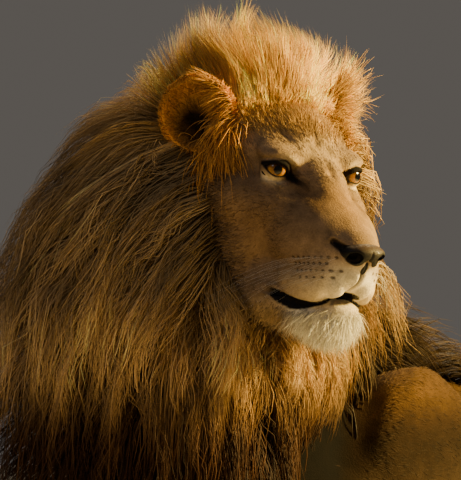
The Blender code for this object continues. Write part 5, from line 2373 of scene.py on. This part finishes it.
@dataclass
class Studio:
    """A plain pale floor, soft lights and the camera."""

    frame: HeadFrame
    bearing: float = 45.0
    height: float = 1.0
    reach: float = 6.0
    tall: float = 0.654
    aside: float = -0.109
    drop: float = -0.0924

    FLOOR_SIDE, FLOOR_DROP = 11.0, 0.0005
    FLOOR_COLOUR = (0.62, 0.58, 0.52, 1.0)
    FLOOR_ROUGHNESS = 0.8
    SKY_COLOUR = (0.68, 0.62, 0.56, 1.0)
    SKY_STRENGTH = 0.155
    SENSOR = 36.0  # the width of the camera's sensor, in millimetres
    LAMPS = (
        Lamp("key", 143.0, 15.0, 2.6, 0.5, 405.0, (1.0, 0.74, 0.24)),
        Lamp("fill", 18.0, 40.0, 3.2, 0.9, 10.0, (0.90, 0.92, 1.0)),
        Lamp("rim", 215.0, 45.0, 2.8, 1.2, 80.0, (1.0, 0.80, 0.45)),
    )

    def build(self) -> None:
        """Sets it all up."""
        self.add_floor()
        self.add_world()
        for lamp in self.LAMPS:
            self.add_lamp(lamp)
        self.add_camera()

    def place(
        self, name: str, data: bpy.types.ID, aim: Vector, bearing: float, height: float, reach: float
    ) -> bpy.types.Object:
        """Adds a light or a camera that looks at a place.

        Args:
            name: The object's name.
            data: The light or the camera.
            aim: The place.
            bearing: Which way it stands from there, in degrees round from the front.
            height: How high over level it stands, in degrees.
            reach: How far off it stands.

        Returns:
            The object.
        """
        obj = bpy.data.objects.new(name, data)
        bpy.context.scene.collection.objects.link(obj)
        turn, rise = math.radians(bearing), math.radians(height)
        level = math.cos(rise)
        way = Vector((math.sin(turn) * level, -math.cos(turn) * level, math.sin(rise)))
        obj.location = aim + way * reach
        obj.rotation_euler = (-way).to_track_quat("-Z", "Y").to_euler()
        return obj

    def add_floor(self) -> None:
        """A pale floor under the lion."""
        bpy.ops.mesh.primitive_plane_add(size=self.FLOOR_SIDE, location=(0.0, 0.0, -self.FLOOR_DROP))
        floor = bpy.context.object
        floor.name = floor.data.name = "studio_floor"
        made = bpy.data.materials.new("pale_floor")
        made.use_nodes = True
        shader = made.node_tree.nodes["Principled BSDF"]
        shader.inputs["Base Color"].default_value = self.FLOOR_COLOUR
        shader.inputs["Roughness"].default_value = self.FLOOR_ROUGHNESS
        floor.data.materials.append(made)

    def add_world(self) -> None:
        """An even pale surround."""
        world = bpy.data.worlds.new("studio")
        world.use_nodes = True
        sky = world.node_tree.nodes["Background"]
        sky.inputs["Color"].default_value = self.SKY_COLOUR
        sky.inputs["Strength"].default_value = self.SKY_STRENGTH
        bpy.context.scene.world = world

    def add_lamp(self, lamp: Lamp) -> None:
        """One soft light, aimed at the head."""
        light = bpy.data.lights.new(lamp.name, "AREA")
        light.shape = "DISK"
        light.size = lamp.size
        light.energy = lamp.power
        light.color = lamp.colour
        self.place(lamp.name, light, Vector(self.frame.origin), lamp.bearing, lamp.height, lamp.reach)

    def add_camera(self) -> None:
        """The camera, far off and level with the eyes."""
        camera = bpy.data.cameras.new("camera")
        camera.sensor_width = self.SENSOR
        camera.lens = camera.sensor_width * self.reach / self.tall
        turn = math.radians(self.bearing)
        right = Vector((math.cos(turn), math.sin(turn), 0.0))
        aim = Vector(self.frame.origin) + right * self.aside + Vector((0, 0, self.drop))
        bpy.context.scene.camera = self.place("camera", camera, aim, self.bearing, self.height, self.reach)


# ---------------------------------------------------------------- the lion
NOSE_DIP = 34.15  # of the nose's middle below straight ahead


def main() -> None:
    """Builds the lion and its studio."""
    logging.basicConfig(level=logging.INFO, format="%(message)s")
    for obj in list(bpy.data.objects):
        bpy.data.objects.remove(obj)
    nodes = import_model()["nodes"]
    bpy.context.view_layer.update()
    frame = HeadFrame.from_nodes(nodes, NOSE_DIP)
    shelf = FinishShelf()
    markings = Markings(frame)

    skin = Skin(frame, nodes)
    body = skin.build()
    world = read_points(body)
    paint(body, markings.coat(world))
    store(body, dark_lip(folded(frame.to_local(world))), WET)
    shelf.put_on(body, "skin")
    LOG.info("skin: %d triangles", len(body.data.polygons))
    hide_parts(*Skin.FLESH)
    nose = Nose(frame, shelf).build()
    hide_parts("nose")
    eyes = [Eyeball(frame, shelf, word, side).build() for word, side in SIDES]
    for eye, (word, _) in zip(eyes, SIDES):
        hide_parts(f"eye_{word}")

    part = 1.0
    ground = Field(body)
    locks = Locks(shelf)
    mane = Mane(frame, nodes, ground, markings, locks, share=part)
    long_hair = mane.build() + EarHair(frame, ground, locks).build() + [TailTuft(ground, locks).build()]
    coat = ShortCoat(frame, ground, markings, locks, share=part)
    short_hair = [*coat.face(), *coat.ears(), coat.beard(), *coat.body(mane.room)]
    short_hair.append(Whiskers(frame, skin, ground, locks).build())
    for slot, pieces in (
        ("tawny_coat", [body, *short_hair]), ("mane_hair", long_hair), ("nose_leather", [nose]),
        ("amber_eye", eyes),
    ):
        for piece in pieces:
            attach(piece, "root")

    Studio(frame).build()


if __name__ == "__main__":
    main()
